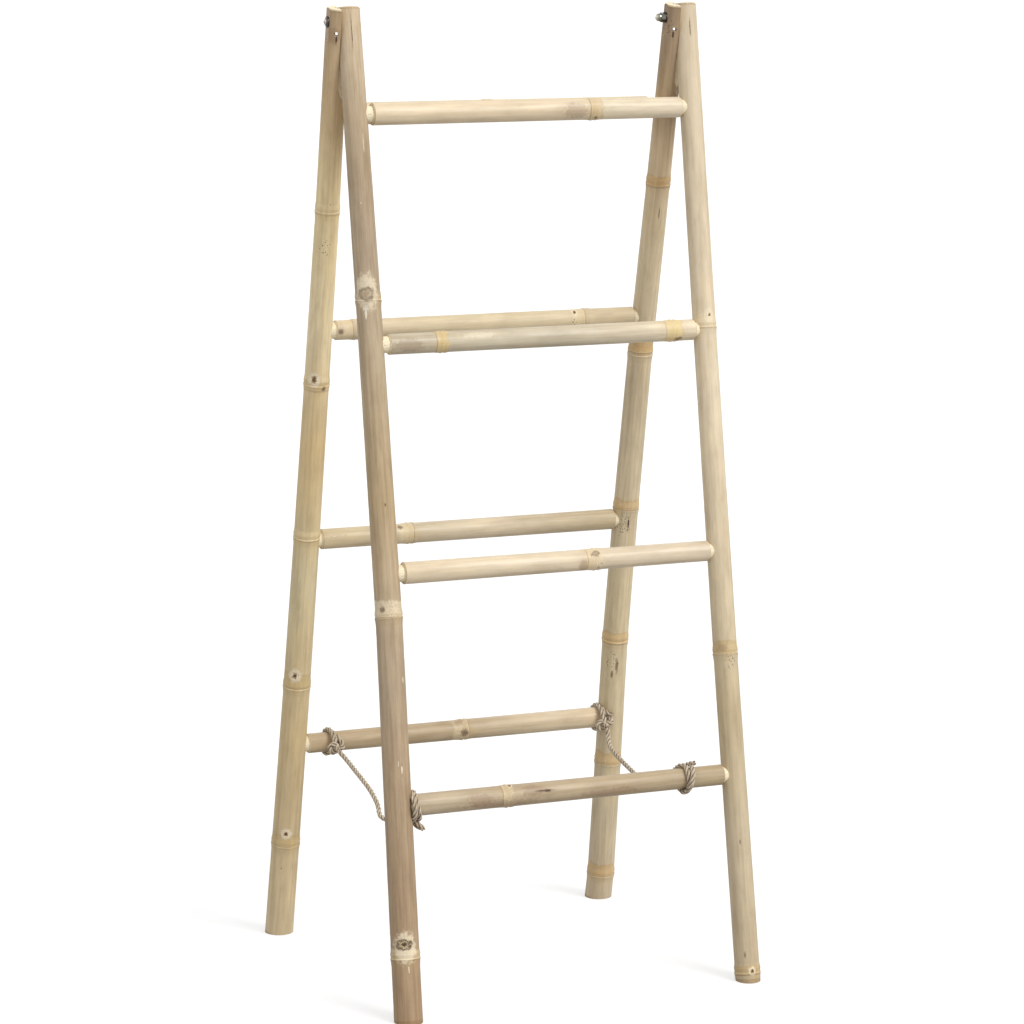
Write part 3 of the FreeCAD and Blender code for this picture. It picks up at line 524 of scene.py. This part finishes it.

# what each culm looks like. feet: its axis along X at the floor and at the hinge. radii: at its
# start and end. sway: (place along the axis, its own bend along X there). skin: (place, display
# colour). rings: a node's band, as (place, how far the band runs on from it or, below zero, back
# from it, colour, strength, strength of the painted shadow line under its ridge). spots: (place,
# turn in degrees from the side that faces the camera, half width round the culm, half length,
# kind). streak: how dark its fibres are.
POLES = {
    "front_left": {
        "feet": (-0.2641, -0.2644), "radii": (0.0215, 0.0175),
        "sway": [(0, 0), (0.096, 0.001), (0.600, 0.007), (1.069, 0.0044), (1.5, 0)],
        "skin": [(0.0, (166, 140, 110)), (0.2, (162, 139, 111)), (0.38, (174, 152, 124)),
                 (0.5, (173, 154, 129)), (0.67, (186, 166, 136)), (0.77, (177, 155, 120)),
                 (0.92, (182, 163, 133)), (1.15, (176, 158, 134)), (1.27, (171, 151, 123)),
                 (1.42, (196, 177, 149)), (1.5, (204, 184, 154))],
        "rings": [(0.094, 0.014, CREAM, 0.45, 0.25), (0.600, 0.024, (236, 220, 190), 0.6, 0.3),
                  (1.067, 0.010, CREAM, 0.4, 0.35)],
        "spots": [
            (1.080, -6, 0.0120, 0.0200, "patch"), (1.077, -8, 0.0115, 0.0095, "scar"),
            (1.057, -14, 0.0046, 0.0060, "flake"), (1.050, -14, 0.0024, 0.0100, "flake"),
            (0.612, -26, 0.0042, 0.0040, "smudge"),
            (0.112, 0, 0.0130, 0.0165, "patch"), (0.117, -4, 0.0118, 0.0080, "eye"),
            (0.080, 12, 0.0014, 0.0060, "chip"), (0.766, 16, 0.0014, 0.0030, "smudge"),
            (0.375, 24, 0.0018, 0.0085, "chip"), (0.384, 10, 0.0010, 0.0060, "chip"),
            (0.507, 54, 0.0016, 0.0065, "chip"), (1.211, -2, 0.0016, 0.0022, "chip"),
            (1.463, 11, 0.0005, 0.0230, "crack"), (1.300, 30, 0.0008, 0.0200, "chip"),
            (0.610, 150, 0.0060, 0.0060, "bud"), (0.850, -150, 0.0006, 0.0300, "crack")],
        "streak": 0.62,
    },
    "front_right": {
        "feet": (0.2941, 0.2824), "radii": (0.01925, 0.017),
        "sway": [(0, 0), (0.014, 0), (0.505, -0.0025), (1.006, -0.002), (1.5, 0)],
        "skin": [(0.0, (187, 170, 140)), (0.2, (196, 180, 152)), (0.42, (188, 171, 138)),
                 (0.58, (205, 189, 159)), (0.75, (212, 196, 167)), (0.9, (218, 202, 174)),
                 (1.5, (206, 190, 163))],
        "rings": [(0.010, 0.012, TAN, 0.6, 0.5), (0.504, 0.018, TAN, 0.65, 0.35),
                  (1.004, 0.020, CREAM, 0.45, 0.3)],
        "spots": [
            (1.023, 28, 0.0062, 0.0072, "patch"), (1.023, 28, 0.0034, 0.0042, "bud"),
            (0.016, 22, 0.0048, 0.0052, "bud"), (0.041, -6, 0.0014, 0.0045, "smudge"),
            (0.215, 8, 0.0009, 0.0040, "smudge"), (1.462, 20, 0.0007, 0.0120, "crack"),
            (0.494, 24, 0.0090, 0.0140, "pores"), (0.514, -14, 0.0090, 0.0060, "smear"),
            (0.520, -160, 0.0052, 0.0056, "bud")],
        "streak": 0.4,
    },
    "back_left": {
        "feet": (-0.2941, -0.2824), "radii": (0.0225, 0.017),
        "sway": [(0, 0), (0.157, 0.0013), (0.426, 0.0033), (0.674, 0.004), (0.922, 0.004),
                 (1.193, 0.0036), (1.5, 0)],
        # painted light: the stops at 1.0 and 1.22 are lighter than the pole's own tone, to offset
        # the shade that the front-left pole casts on this part
        "skin": [(0.0, (212, 193, 157)), (0.21, (200, 179, 141)), (0.35, (205, 183, 141)),
                 (0.6, (207, 192, 155)), (0.82, (212, 187, 141)), (1.0, (229, 212, 174)),
                 (1.22, (231, 211, 166)), (1.32, (206, 181, 141)), (1.5, (176, 153, 122))],
        "rings": [(0.157, 0.020, TAN, 0.5, 0.3), (0.428, 0.022, TAN, 0.5, 0.3),
                  (0.672, 0.016, CREAM, 0.4, 0.25), (0.914, 0.014, TAN, 0.4, 0.3),
                  (1.190, 0.016, CREAM, 0.3, 0.25)],
        "spots": [
            (0.932, -12, 0.0078, 0.0090, "patch"), (0.932, -12, 0.0062, 0.0072, "bud"),
            (0.449, -10, 0.0078, 0.0080, "patch"), (0.449, -10, 0.0058, 0.0064, "bud"),
            (0.180, 0, 0.0066, 0.0066, "patch"), (0.180, 0, 0.0048, 0.0052, "bud"),
            (1.207, 16, 0.0100, 0.0025, "pores"), (1.140, -6, 0.0100, 0.0120, "pores"),
            (0.918, 34, 0.0034, 0.0036, "smudge"), (1.462, -18, 0.0125, 0.0130, "smear"),
            (1.456, 0, 0.0013, 0.0060, "crack"),
            (0.120, -10, 0.0008, 0.0016, "smudge"), (1.205, 170, 0.0052, 0.0058, "bud"),
            (0.688, 168, 0.0052, 0.0058, "bud")],
        "streak": 0.45,
    },
    "back_right": {
        "feet": (0.2641, 0.2644), "radii": (0.022, 0.0175),
        "sway": [(0, 0), (0.044, 0.001), (0.245, -0.0038), (0.461, -0.0098), (0.686, -0.0108),
                 (0.944, -0.0094), (1.220, -0.0037), (1.5, 0)],
        "skin": [(0.0, (196, 178, 150)), (0.15, (200, 185, 156)), (0.3, (205, 189, 156)),
                 (0.53, (206, 190, 156)), (0.73, (207, 192, 162)), (0.9, (199, 183, 153)),
                 (1.12, (215, 199, 167)), (1.27, (211, 189, 155)), (1.4, (168, 146, 117)),
                 (1.5, (160, 138, 113))],
        "rings": [(0.044, 0.020, ORANGE, 0.6, 0.35), (0.245, 0.020, ORANGE, 0.6, 0.4),
                  (0.457, 0.018, ORANGE, 0.6, 0.4), (0.686, 0.016, ORANGE, 0.55, 0.55),
                  (0.948, 0.024, ORANGE, 0.75, 0.4), (1.216, 0.016, ORANGE, 0.7, 0.6)],
        "spots": [
            (0.420, 16, 0.0022, 0.0110, "smudge"), (0.404, -4, 0.0018, 0.0070, "smudge"),
            (0.426, -8, 0.0120, 0.0200, "pores"),
            (0.664, 18, 0.0014, 0.0100, "crack"), (1.175, 20, 0.0010, 0.0080, "smudge"),
            (0.664, -6, 0.0150, 0.0220, "pores"), (1.466, -38, 0.0130, 0.0160, "pores"),
            (1.456, 0, 0.0013, 0.0060, "crack"),
            (0.061, 172, 0.0052, 0.0056, "bud"), (0.703, 165, 0.0052, 0.0058, "bud"),
            (1.234, -160, 0.0052, 0.0058, "bud")],
        "streak": 0.5,
    },
}

# where the rungs' axes start, along X
LEFT_END = {"front": -0.2631, "back": -0.2931}

RUNGS = {
    "front_rung_1": {
        "skin": [(0, (184, 168, 142)), (0.25, (180, 162, 134)), (0.56, (174, 156, 126))],
        "rings": [(0.166, 0.015, CREAM, 0.45, 0.4)],
        "spots": [(0.179, -60, 0.0034, 0.0036, "bud"), (0.232, -9, 0.0012, 0.0120, "crack"),
                  (0.236, -4, 0.0010, 0.0060, "crack"), (0.215, -18, 0.0090, 0.0200, "smear"),
                  (0.130, 10, 0.0100, 0.0240, "smear"),
                  (0.160, 44, 0.0080, 0.0700, "smear"), (0.340, 40, 0.0080, 0.0500, "smear")],
        "streak": 0.5,
    },
    "front_rung_2": {
        "skin": [(0, (216, 199, 170)), (0.3, (215, 199, 173)), (0.56, (208, 192, 168))],
        "rings": [(0.326, 0.022, CREAM, 0.55, 0.35)],
        "spots": [(0.339, -29, 0.0052, 0.0060, "scar"), (0.318, 34, 0.0110, 0.0080, "smear"),
                  (0.345, 40, 0.0080, 0.0060, "pores")],
        "streak": 0.35,
    },
    "front_rung_3": {
        "skin": [(0, (190, 178, 154)), (0.2, (197, 186, 163)), (0.3, (190, 179, 157)),
                 (0.47, (219, 206, 180)), (0.56, (226, 210, 180))],
        "rings": [(0.104, 0.017, (216, 184, 116), 0.75, 0.4),
                  (0.478, 0.026, (220, 192, 122), 0.75, 0.3)],
        "spots": [(0.498, 52, 0.0044, 0.0060, "smudge"), (0.170, -30, 0.0050, 0.0300, "pale"),
                  (0.060, 10, 0.0120, 0.0250, "smear")],
        "streak": 0.5,
    },
    "front_rung_4": {
        "skin": [(0, (218, 200, 170)), (0.34, (216, 198, 170)), (0.4, (218, 205, 178)),
                 (0.56, (222, 208, 184))],
        "rings": [(0.374, 0.020, (196, 166, 118), 0.6, 0.6)],
        "spots": [(0.383, 52, 0.0026, 0.0026, "smudge"), (0.350, 6, 0.0140, 0.0200, "smear"),
                  (0.386, -22, 0.0050, 0.0050, "pores")],
        "streak": 0.35,
    },
    "back_rung_1": {
        "skin": [(0, (184, 163, 130)), (0.26, (180, 160, 130)), (0.45, (214, 196, 166)),
                 (0.56, (212, 192, 160))],
        "rings": [(0.298, -0.026, CREAM, 0.5, 0.3)],
        "spots": [(0.282, -50, 0.0060, 0.0080, "smear"), (0.290, 20, 0.0060, 0.0060, "smudge")],
        "streak": 0.4,
    },
    "back_rung_2": {
        "skin": [(0, (206, 188, 150)), (0.19, (202, 187, 159)), (0.3, (210, 194, 167)),
                 (0.56, (192, 175, 142))],
        "rings": [(0.181, -0.026, CREAM, 0.6, 0.45)],
        "spots": [(0.050, -10, 0.0008, 0.0060, "chip"), (0.064, -14, 0.0008, 0.0050, "chip"),
                  (0.160, -40, 0.0040, 0.0040, "smudge")],
        "streak": 0.4,
    },
    "back_rung_3": {
        "skin": [(0, (208, 191, 162)), (0.2, (208, 192, 160)), (0.43, (206, 190, 158)),
                 (0.47, (212, 194, 161)), (0.56, (214, 197, 165))],
        "rings": [(0.060, -0.016, CREAM, 0.5, 0.4), (0.443, -0.022, CREAM, 0.5, 0.35)],
        "spots": [(0.427, -43, 0.0044, 0.0040, "bud"), (0.425, 20, 0.0060, 0.0050, "pores"),
                  (0.040, 12, 0.0040, 0.0050, "smudge")],
        "streak": 0.35,
    },
    "back_rung_4": {
        "skin": [(0, (218, 200, 168)), (0.56, (216, 198, 164))],
        "rings": [(0.250, -0.020, CREAM, 0.5, 0.4)],
        "spots": [(0.236, 150, 0.0044, 0.0044, "bud")],
        "streak": 0.35,
    },
}

# how a kind of spot is painted: colour and strength of the soft patch round it, of its rim,
# of its inside and of its centre, and how deep it is pressed in. Pores are dark dots instead.
SPOTS = {
    "patch": (PALE, 0.8, PALE, 0.0, PALE, 0.62, PALE, 0.0, 0.0),
    "pale": (CREAM, 0.2, CREAM, 0.0, (236, 226, 200), 0.5, CREAM, 0.0, 0.0),
    "scar": (CREAM, 0.1, (92, 72, 54), 0.7, (182, 162, 132), 0.75, (140, 116, 88), 0.5, 0.6),
    "eye": (CREAM, 0.3, DARK, 0.95, (206, 182, 138), 0.9, DARK, 0.95, 0.8),
    "bud": (CREAM, 0.45, (234, 222, 194), 0.85, (146, 104, 60), 0.9, (66, 44, 28), 0.85, 0.8),
    "flake": (BROWN, 0.05, (150, 124, 92), 0.3, (240, 230, 208), 0.95, CREAM, 0.0, 0.3),
    "chip": (BROWN, 0.05, BROWN, 0.35, (236, 222, 194), 0.8, CREAM, 0.0, 0.3),
    "smudge": (BROWN, 0.12, BROWN, 0.3, (92, 74, 58), 0.62, DARK, 0.3, 0.1),
    "smear": (BROWN, 0.05, BROWN, 0.05, (140, 108, 86), 0.34, BROWN, 0.05, 0.0),
    "crack": (BROWN, 0.25, BROWN, 0.4, DARK, 0.85, DARK, 0.9, 0.8),
}

# noises of the fibres: scale round the culm, scale along it, times the seed, detail, roughness
FIBRES = {
    "fine": (900, 16, 1, 3, 0.65),
    "broad": (170, 7, 2, 3, 0.6),
    "cloud": (60, 22, 3, 4, 0.6),
    "dashes": (520, 60, 5, 2, 0.5),
    "pores": (1300, 90, 1, 3, 0.6),
}
MOTTLE_SCALE, ROUGH_SCALE, WAVE_SCALE, PORE_SCALE = 420, 170, 90, 300.0
# the sways that a ramp of 0 to 1 holds are this far apart
SWAY_REACH = 0.04
# how far a band's lower line and its brow wander along the axis
LINE_WOBBLE, BROW_WOBBLE = 0.003, 0.012
# where a band fades in past its lower line, and fades out past its width
BAND_IN, BAND_OUT = (-0.0006, 0.0008), (-0.002, 0.0015)
# where the pale lip and the painted shadow line lie above a band's lower line, the widths of
# the brow, the lip and the shadow line, and the length of the stain round the band
LIP_PLACE, SHADOW_PLACE = 0.0014, -0.0006
BROW_WIDTH, LIP_WIDTH, SHADOW_WIDTH, HALO_LENGTH = 0.0016, 0.0012, 0.0010, 0.011
# a spot's parts, by the distance from its middle, where 1 is its edge
SPOT_CORE, SPOT_FILL, SPOT_AROUND = (0.25, 0.5), (0.7, 1.0), (1.0, 1.7)
SPOT_RIM, SPOT_RIM_WIDTH = 0.9, 0.26
SPOT_HOLLOW, SPOT_WALL, SPOT_WALL_WIDTH = (0.5, 0.95), 1.1, 0.25
SPOT_PORES, PORE_EDGE = (0.7, 1.1), (0.22, 0.32)
# a face is a cut end where its normal lies along the axis, from the skin inwards
ENDWISE, SKIN_DEPTH = (0.45, 0.6), (-0.0004, 0.0002)
# how deep under the skin the hollow's pale wall begins
HOLLOW_DEPTH = (0.0022, 0.003)
# the darker brown rim at the ends: its distance from the end, and its depth and width under the
# skin
RIM_NEAR, RIM_FAR = 0.002, 0.0055
RIM_DEPTH, RIM_WIDTH = 0.0005, 0.0008
SKIN_BUMP, RELIEF = 0.5, 0.0006


def culm_frame(start, end, camera_side):
    """Axis from start to end, the direction square to it that faces a point, and across."""
    axis = (end - start).normalized()
    facing = camera_side - start
    facing = (facing - axis * facing.dot(axis)).normalized()
    return axis, facing, axis.cross(facing)


class CulmGraph(Graph):
    """Bamboo skin about an axis: fibres along it, a band at each node, spots, pale cut faces."""

    def __init__(self, name, start, end, facts, radii, seed):
        super().__init__(bpy.data.materials.new(name))
        self.facts, self.seed = facts, seed
        self.axis, facing, across = culm_frame(start, end, CAMERA_POSITION)
        self.length = facts["skin"][-1][0]
        offset = self.vector("SUBTRACT", self.place(), start)
        self.up = self.vector("DOT_PRODUCT", offset, self.axis)
        self.share = self.math("DIVIDE", self.up, self.length)
        if "sway" in facts:
            bent = self.levels(self.share, [
                (place / self.length, 0.5 + sway / SWAY_REACH) for place, sway in facts["sway"]])
            sway = self.math("MULTIPLY_ADD", bent, SWAY_REACH, -SWAY_REACH / 2)
            offset = self.vector("SUBTRACT", offset, self.combine(sway, 0.0, 0.0))
        self.a = self.vector("DOT_PRODUCT", offset, facing)
        self.b = self.vector("DOT_PRODUCT", offset, across)
        self.turn = self.math("ARCTAN2", self.b, self.a)
        self.radial = self.hypotenuse(self.a, self.b)
        skin_radius = self.math("MULTIPLY_ADD", self.share, radii[1] - radii[0], radii[0])
        self.depth = self.math("SUBTRACT", skin_radius, self.radial)
        self.seeded = self.vector("ADD", offset, (seed, 0, 0))
        self.fine, self.broad, self.cloud = (
            self.fibres(kind) for kind in ("fine", "broad", "cloud"))
        self.mottle = self.noise(self.seeded, MOTTLE_SCALE, 4, 0.7)
        self.wave = self.noise(self.combine(
            self.math("MULTIPLY", self.a, WAVE_SCALE), self.math("MULTIPLY", self.b, WAVE_SCALE),
            seed), 1.0, 2)
        rough_edge = self.noise(self.seeded, ROUGH_SCALE, 2, 0.5)
        self.ragged = self.math(
            "ADD", self.math("MULTIPLY_ADD", self.mottle, 1.1, -0.55),
            self.math("MULTIPLY_ADD", rough_edge, 1.2, -0.6))
        self.colour = self.tints(
            self.share, [(place / self.length, tint) for place, tint in facts["skin"]])
        self.height = self.math("MULTIPLY", self.fine, 0.35)

    def fibres(self, kind):
        round_scale, long_scale, shift, detail, roughness = FIBRES[kind]
        at = self.combine(
            self.math("MULTIPLY", self.a, round_scale), self.math("MULTIPLY", self.b, round_scale),
            self.math("MULTIPLY_ADD", self.up, long_scale, self.seed * shift))
        return self.noise(at, 1.0, detail, roughness)

    def paint(self, share, colour):
        self.colour = self.mix(share, self.colour, colour)

    def raise_by(self, height, factor=1.0):
        self.height = self.math("MULTIPLY_ADD", height, factor, self.height)

    def lay_fibres(self):
        streak = self.facts["streak"]
        # noise, its low and high level, the share at each, what the colour is multiplied by
        for noise, low, high, start, end, factor in (
                (self.broad, 0.38, 0.66, 0.0, streak, (0.72, 0.66, 0.60)),
                (self.cloud, 0.45, 0.7, 0.0, 0.6, (1.14, 1.12, 1.06)),
                (self.cloud, 0.3, 0.5, 0.55, 0.0, (0.86, 0.83, 0.76)),
                (self.fine, 0.32, 0.62, 0.42 * streak, 0.0, (0.66, 0.58, 0.50)),
                (self.fine, 0.6, 0.75, 0.0, 0.3, (1.16, 1.15, 1.12))):
            self.colour = self.shade(self.span(noise, low, high, start, end), self.colour, factor)
        self.paint(self.span(self.fibres("dashes"), 0.735, 0.78, 0.0, 0.4 * streak), linear(BROWN))

    def add_ring(self, place, width, tint, strength, shadow_strength):
        """A node's band, wavy brow, stain round it, pale lip and painted shadow under its ridge."""
        sign, width = math.copysign(1, width), abs(width)
        wobble = self.math("MULTIPLY_ADD", self.wave, LINE_WOBBLE, -LINE_WOBBLE / 2)
        above = self.math("MULTIPLY", self.math(
            "SUBTRACT", self.math("ADD", self.up, wobble), place), sign)
        brow = self.math("ADD", above, self.math(
            "MULTIPLY_ADD", self.wave, BROW_WOBBLE, -BROW_WOBBLE / 2))
        zone = self.math(
            "MULTIPLY", self.span(above, *BAND_IN),
            self.span(brow, width + BAND_OUT[0], width + BAND_OUT[1], 1.0, 0.0))
        mottled = self.span(self.mottle, 0.35, 0.6, 0.3 * strength, strength)
        self.paint(self.math("MULTIPLY", zone, mottled), linear(tint))
        self.paint(
            self.math("MULTIPLY", self.bell(above, HALO_LENGTH),
                      self.span(self.cloud, 0.4, 0.6, 0, 0.3)),
            linear(TAN))
        brow_line = self.bell(self.math("SUBTRACT", brow, width), BROW_WIDTH)
        self.paint(
            self.math("MULTIPLY", brow_line, self.span(self.mottle, 0.35, 0.65, 0.1, 0.45)),
            darker(tint))
        lip = self.bell(self.math("SUBTRACT", above, LIP_PLACE), LIP_WIDTH)
        self.paint(self.math("MULTIPLY", lip, 0.22), linear(CREAM))
        # painted shadow: a dark line just under the node's ridge, which the bump also presses in
        ridge_shadow = self.math(
            "MULTIPLY", self.bell(self.math("SUBTRACT", above, SHADOW_PLACE), SHADOW_WIDTH),
            self.span(self.mottle, 0.3, 0.6, 0.4 * shadow_strength, shadow_strength))
        self.paint(ridge_shadow, linear(BROWN))
        self.raise_by(lip, 0.5)
        self.raise_by(ridge_shadow, -1.0)
        self.raise_by(self.math("MULTIPLY", zone, self.math("MULTIPLY", self.mottle, 0.6)))

    def add_spot(self, place, degrees, half_width, half_length, kind):
        """A mark with a ragged outline: out is 0 at its middle and about 1 at its edge."""
        arc = self.math("MULTIPLY", self.math(
            "WRAP", self.math("SUBTRACT", self.turn, math.radians(degrees)), math.pi, -math.pi),
            self.radial)
        out = self.math("ADD", self.hypotenuse(
            self.math("DIVIDE", arc, half_width),
            self.math("DIVIDE", self.math("SUBTRACT", self.up, place), half_length)), self.ragged)
        if kind == "pores":
            dots = self.node(
                "ShaderNodeTexVoronoi", {"Vector": self.seeded, "Scale": PORE_SCALE})
            self.paint(
                self.math("MULTIPLY", self.span(out, *SPOT_PORES, 0.8, 0.0),
                          self.span(dots, *PORE_EDGE, 1.0, 0.0)),
                linear(DARK))
            return
        around, around_share, rim, rim_share, fill, fill_share, core, core_share, depth = (
            SPOTS[kind])
        self.paint(self.span(out, *SPOT_AROUND, around_share, 0.0), linear(around))
        mottled = self.mix(self.span(self.mottle, 0.35, 0.65), darker(fill), linear(fill))
        self.paint(self.span(out, *SPOT_FILL, fill_share, 0.0), mottled)
        self.paint(
            self.math("MULTIPLY", self.bell(self.math("SUBTRACT", out, SPOT_RIM), SPOT_RIM_WIDTH),
                      self.span(self.mottle, 0.35, 0.55, rim_share * 0.5, rim_share)),
            linear(rim))
        self.paint(self.span(out, *SPOT_CORE, core_share, 0.0), linear(core))
        self.raise_by(self.span(out, *SPOT_HOLLOW, -depth, 0.0))
        self.raise_by(self.bell(self.math("SUBTRACT", out, SPOT_WALL), SPOT_WALL_WIDTH), depth)

    def add_cuts(self):
        """Pale grain on the ends and in the hollow, and a darker brown rim of the skin at the ends.

        Returns the mask of the grain.
        """
        normal = self.node("ShaderNodeNewGeometry", output="True Normal")
        endwise = self.math("ABSOLUTE", self.vector("DOT_PRODUCT", normal, self.axis))
        ends = self.math(
            "MULTIPLY", self.span(endwise, *ENDWISE), self.span(self.depth, *SKIN_DEPTH))
        cut = self.math("MAXIMUM", ends, self.span(self.depth, *HOLLOW_DEPTH))
        self.paint(cut, self.tints(self.fibres("pores"), GRAIN_TINTS))
        near_end = self.math(
            "MAXIMUM", self.span(self.up, RIM_NEAR, RIM_FAR, 1.0, 0.0),
            self.span(self.up, self.length - RIM_FAR, self.length - RIM_NEAR))
        end_rim = self.math(
            "MULTIPLY", self.math("MAXIMUM", near_end, self.math("MULTIPLY", ends, 0.8)),
            self.bell(self.math("SUBTRACT", self.depth, RIM_DEPTH), RIM_WIDTH))
        self.paint(
            self.math("MULTIPLY", end_rim, self.span(self.mottle, 0.3, 0.6, 0.35, 0.8)),
            linear(RIM_TINT))
        return cut


def culm_material(name, start, end, facts, radii, seed, gloss):
    """The whole skin of one culm, rougher where it is cut."""
    graph = CulmGraph(name, start, end, facts, radii, seed)
    graph.lay_fibres()
    for ring in facts["rings"]:
        graph.add_ring(*ring)
    for spot in facts["spots"]:
        graph.add_spot(*spot)
    cut = graph.add_cuts()
    roughness = graph.math(
        "ADD", graph.span(graph.broad, 0.3, 0.7, gloss - 0.05, gloss + 0.12),
        graph.math("MULTIPLY", cut, 0.3))
    return graph.finish(graph.colour, roughness, graph.bump(graph.height, SKIN_BUMP, RELIEF),
                        **{"Specular IOR Level": 0.4})


def paint(node, material):
    """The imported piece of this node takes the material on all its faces."""
    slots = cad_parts[node].data.materials
    if len(slots):
        for index in range(len(slots)):
            slots[index] = material
    else:
        slots.append(material)


def make_bamboo():
    for number, (pole, facts) in enumerate(POLES.items()):
        sign = -1 if pole.startswith("front") else 1
        foot_x, hinge_x = facts["feet"]
        foot = Vector((foot_x + HINGE.x, HINGE.y + sign * REACH * math.sin(HALF_ANGLE), 0))
        hinge = Vector((hinge_x + HINGE.x, HINGE.y, HINGE.z))
        paint(pole + "_pole", culm_material(
            "bamboo_" + pole, foot, hinge, facts, facts["radii"],
            POLE_SEEDS[0] + POLE_SEEDS[1] * number, POLE_GLOSS))
    for number, (rung, facts) in enumerate(RUNGS.items()):
        low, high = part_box(rung)
        left = Vector((
            LEFT_END[rung.split("_")[0]], (low[1] + high[1]) / 2, (low[2] + high[2]) / 2))
        radius = (high[2] - low[2]) / 2 - RUNG_SKIN_INSET
        paint(rung, culm_material(
            "bamboo_" + rung, left, left + Vector((RUNG_REACH, 0, 0)), facts, (radius, radius),
            RUNG_SEEDS[0] + RUNG_SEEDS[1] * number, RUNG_GLOSS))


make_bamboo()

# ---------------------------------------------------------------------------
# Hardware
# ---------------------------------------------------------------------------

BAND_REACH = 0.010
GRIME_TINT = (96, 84, 70)
SCRATCH_DEPTH = 0.0001
# painted light: how light the metal is drawn at distances from the hinge's axis, as painted
# highlights and, further out, painted shadow and dark reflection
STEEL_PAINTED_LIGHT = [
    (0.0, 0.45), (0.0018, 0.5), (0.0026, 1.3), (0.0042, 1.2), (0.0054, 0.3), (0.0080, 0.12)]
CHROME_PAINTED_LIGHT = [(0.0, 1.1), (0.0026, 1.0), (0.0042, 0.62), (0.0056, 0.34), (0.0072, 0.2)]
STEEL_NODES = (
    "left_pivot_bolt", "right_pivot_bolt", "left_lock_nut", "left_head_washer",
    "left_nut_washer", "right_head_washer", "right_nut_washer")


def metal_material(name, colour, roughness, grime, light_bands):
    """Grimy metal with painted highlights, shadow and reflections in rings round the hinge's axis.
    """
    graph = material_graph(name)
    at = graph.place()
    scratch = graph.noise(at, 900, 4, 0.7)
    dirt = graph.noise(at, 240, 4, 0.6)
    away = graph.vector("MULTIPLY", graph.vector("SUBTRACT", at, HINGE), (0, 1, 1))
    share = graph.math("DIVIDE", graph.vector("LENGTH", away), BAND_REACH)
    # painted light: the colour is made lighter or darker in rings round the hinge's axis
    painted_light = graph.levels(share, [(place / BAND_REACH, level) for place, level in light_bands])
    tint = graph.mix(graph.span(dirt, 0.45, 0.75, 0.0, grime), colour, linear(GRIME_TINT))
    tint = graph.mix(1.0, tint, painted_light, "MULTIPLY")
    rough = graph.math(
        "ADD", graph.span(scratch, 0.3, 0.7, roughness - 0.06, roughness + 0.1),
        graph.span(dirt, 0.45, 0.75, 0.0, 0.3 * grime))
    return graph.finish(tint, rough, graph.bump(scratch, 0.2, SCRATCH_DEPTH), Metallic=1.0)


def make_hardware():
    steel = metal_material("bolt_steel", (0.62, 0.58, 0.52), 0.26, 0.6, STEEL_PAINTED_LIGHT)
    for node in STEEL_NODES:
        paint(node, steel)
    paint("right_cap_nut", metal_material(
        "cap_nut_chrome", (0.86, 0.82, 0.68), 0.10, 0.3, CHROME_PAINTED_LIGHT))


make_hardware()

# ---------------------------------------------------------------------------
# Floor, light and background
# ---------------------------------------------------------------------------

FLOOR_REACH = 40.0
FLOOR_DROP = 0.0002
FLOOR_LEVELS = [(0.3, 0.41), (0.7, 0.43)]
# added to what the camera sees of the floor, so that it shows white
FLOOR_GLOW = 0.56
WORLD_STRENGTH, WORLD_SHOWN = 0.865, 1.0
SUN_TOWARDS, SUN_STRENGTH, SUN_SOFTNESS = (0.42, -0.75, 0.76), 1.95, 28


def make_floor():
    mesh = bpy.data.meshes.new("floor")
    near, far = -FLOOR_REACH, 2 * FLOOR_REACH
    mesh.from_pydata(
        [(-FLOOR_REACH, near, 0), (FLOOR_REACH, near, 0), (FLOOR_REACH, far, 0),
         (-FLOOR_REACH, far, 0)], [], [(0, 1, 2, 3)])
    floor = link_object("floor", mesh)
    floor.location.z = -FLOOR_DROP
    graph = material_graph("floor")
    speck = graph.noise(graph.place(), 3, 3, 0.5)
    seen = graph.node("ShaderNodeLightPath", output="Is Camera Ray")
    glow = graph.math("MULTIPLY", seen, FLOOR_GLOW)
    mesh.materials.append(graph.finish(
        graph.levels(speck, FLOOR_LEVELS), 0.9,
        **{"Emission Color": (1, 1, 1), "Emission Strength": glow}))


def make_world(strength, shown):
    """A white sky that lights with a strength, and is shown and mirrored with another."""
    world = bpy.data.worlds.new("world")
    bpy.context.scene.world = world
    graph = Graph(world)
    camera, transmission, glossy = (
        graph.node("ShaderNodeLightPath", output="Is %s Ray" % kind)
        for kind in ("Camera", "Transmission", "Glossy"))
    seen = graph.math("MAXIMUM", graph.math("MAXIMUM", camera, transmission), glossy)
    back = graph.node("ShaderNodeBackground", {
        "Color": (1, 1, 1), "Strength": graph.span(seen, 0, 1, strength, shown, smooth=False)})
    graph.node("ShaderNodeOutputWorld", {"Surface": back})


def make_sun(name, towards, strength, softness):
    """A far light that comes from the direction towards, with soft shadows."""
    data = bpy.data.lights.new(name, "SUN")
    data.energy, data.angle = strength, math.radians(softness)
    light = link_object(name, data)
    light.rotation_euler = Vector(towards).to_track_quat("Z", "Y").to_euler()


make_floor()
make_world(WORLD_STRENGTH, WORLD_SHOWN)
make_sun("key", SUN_TOWARDS, SUN_STRENGTH, SUN_SOFTNESS)

bpy.context.scene.view_settings.view_transform = "Standard"
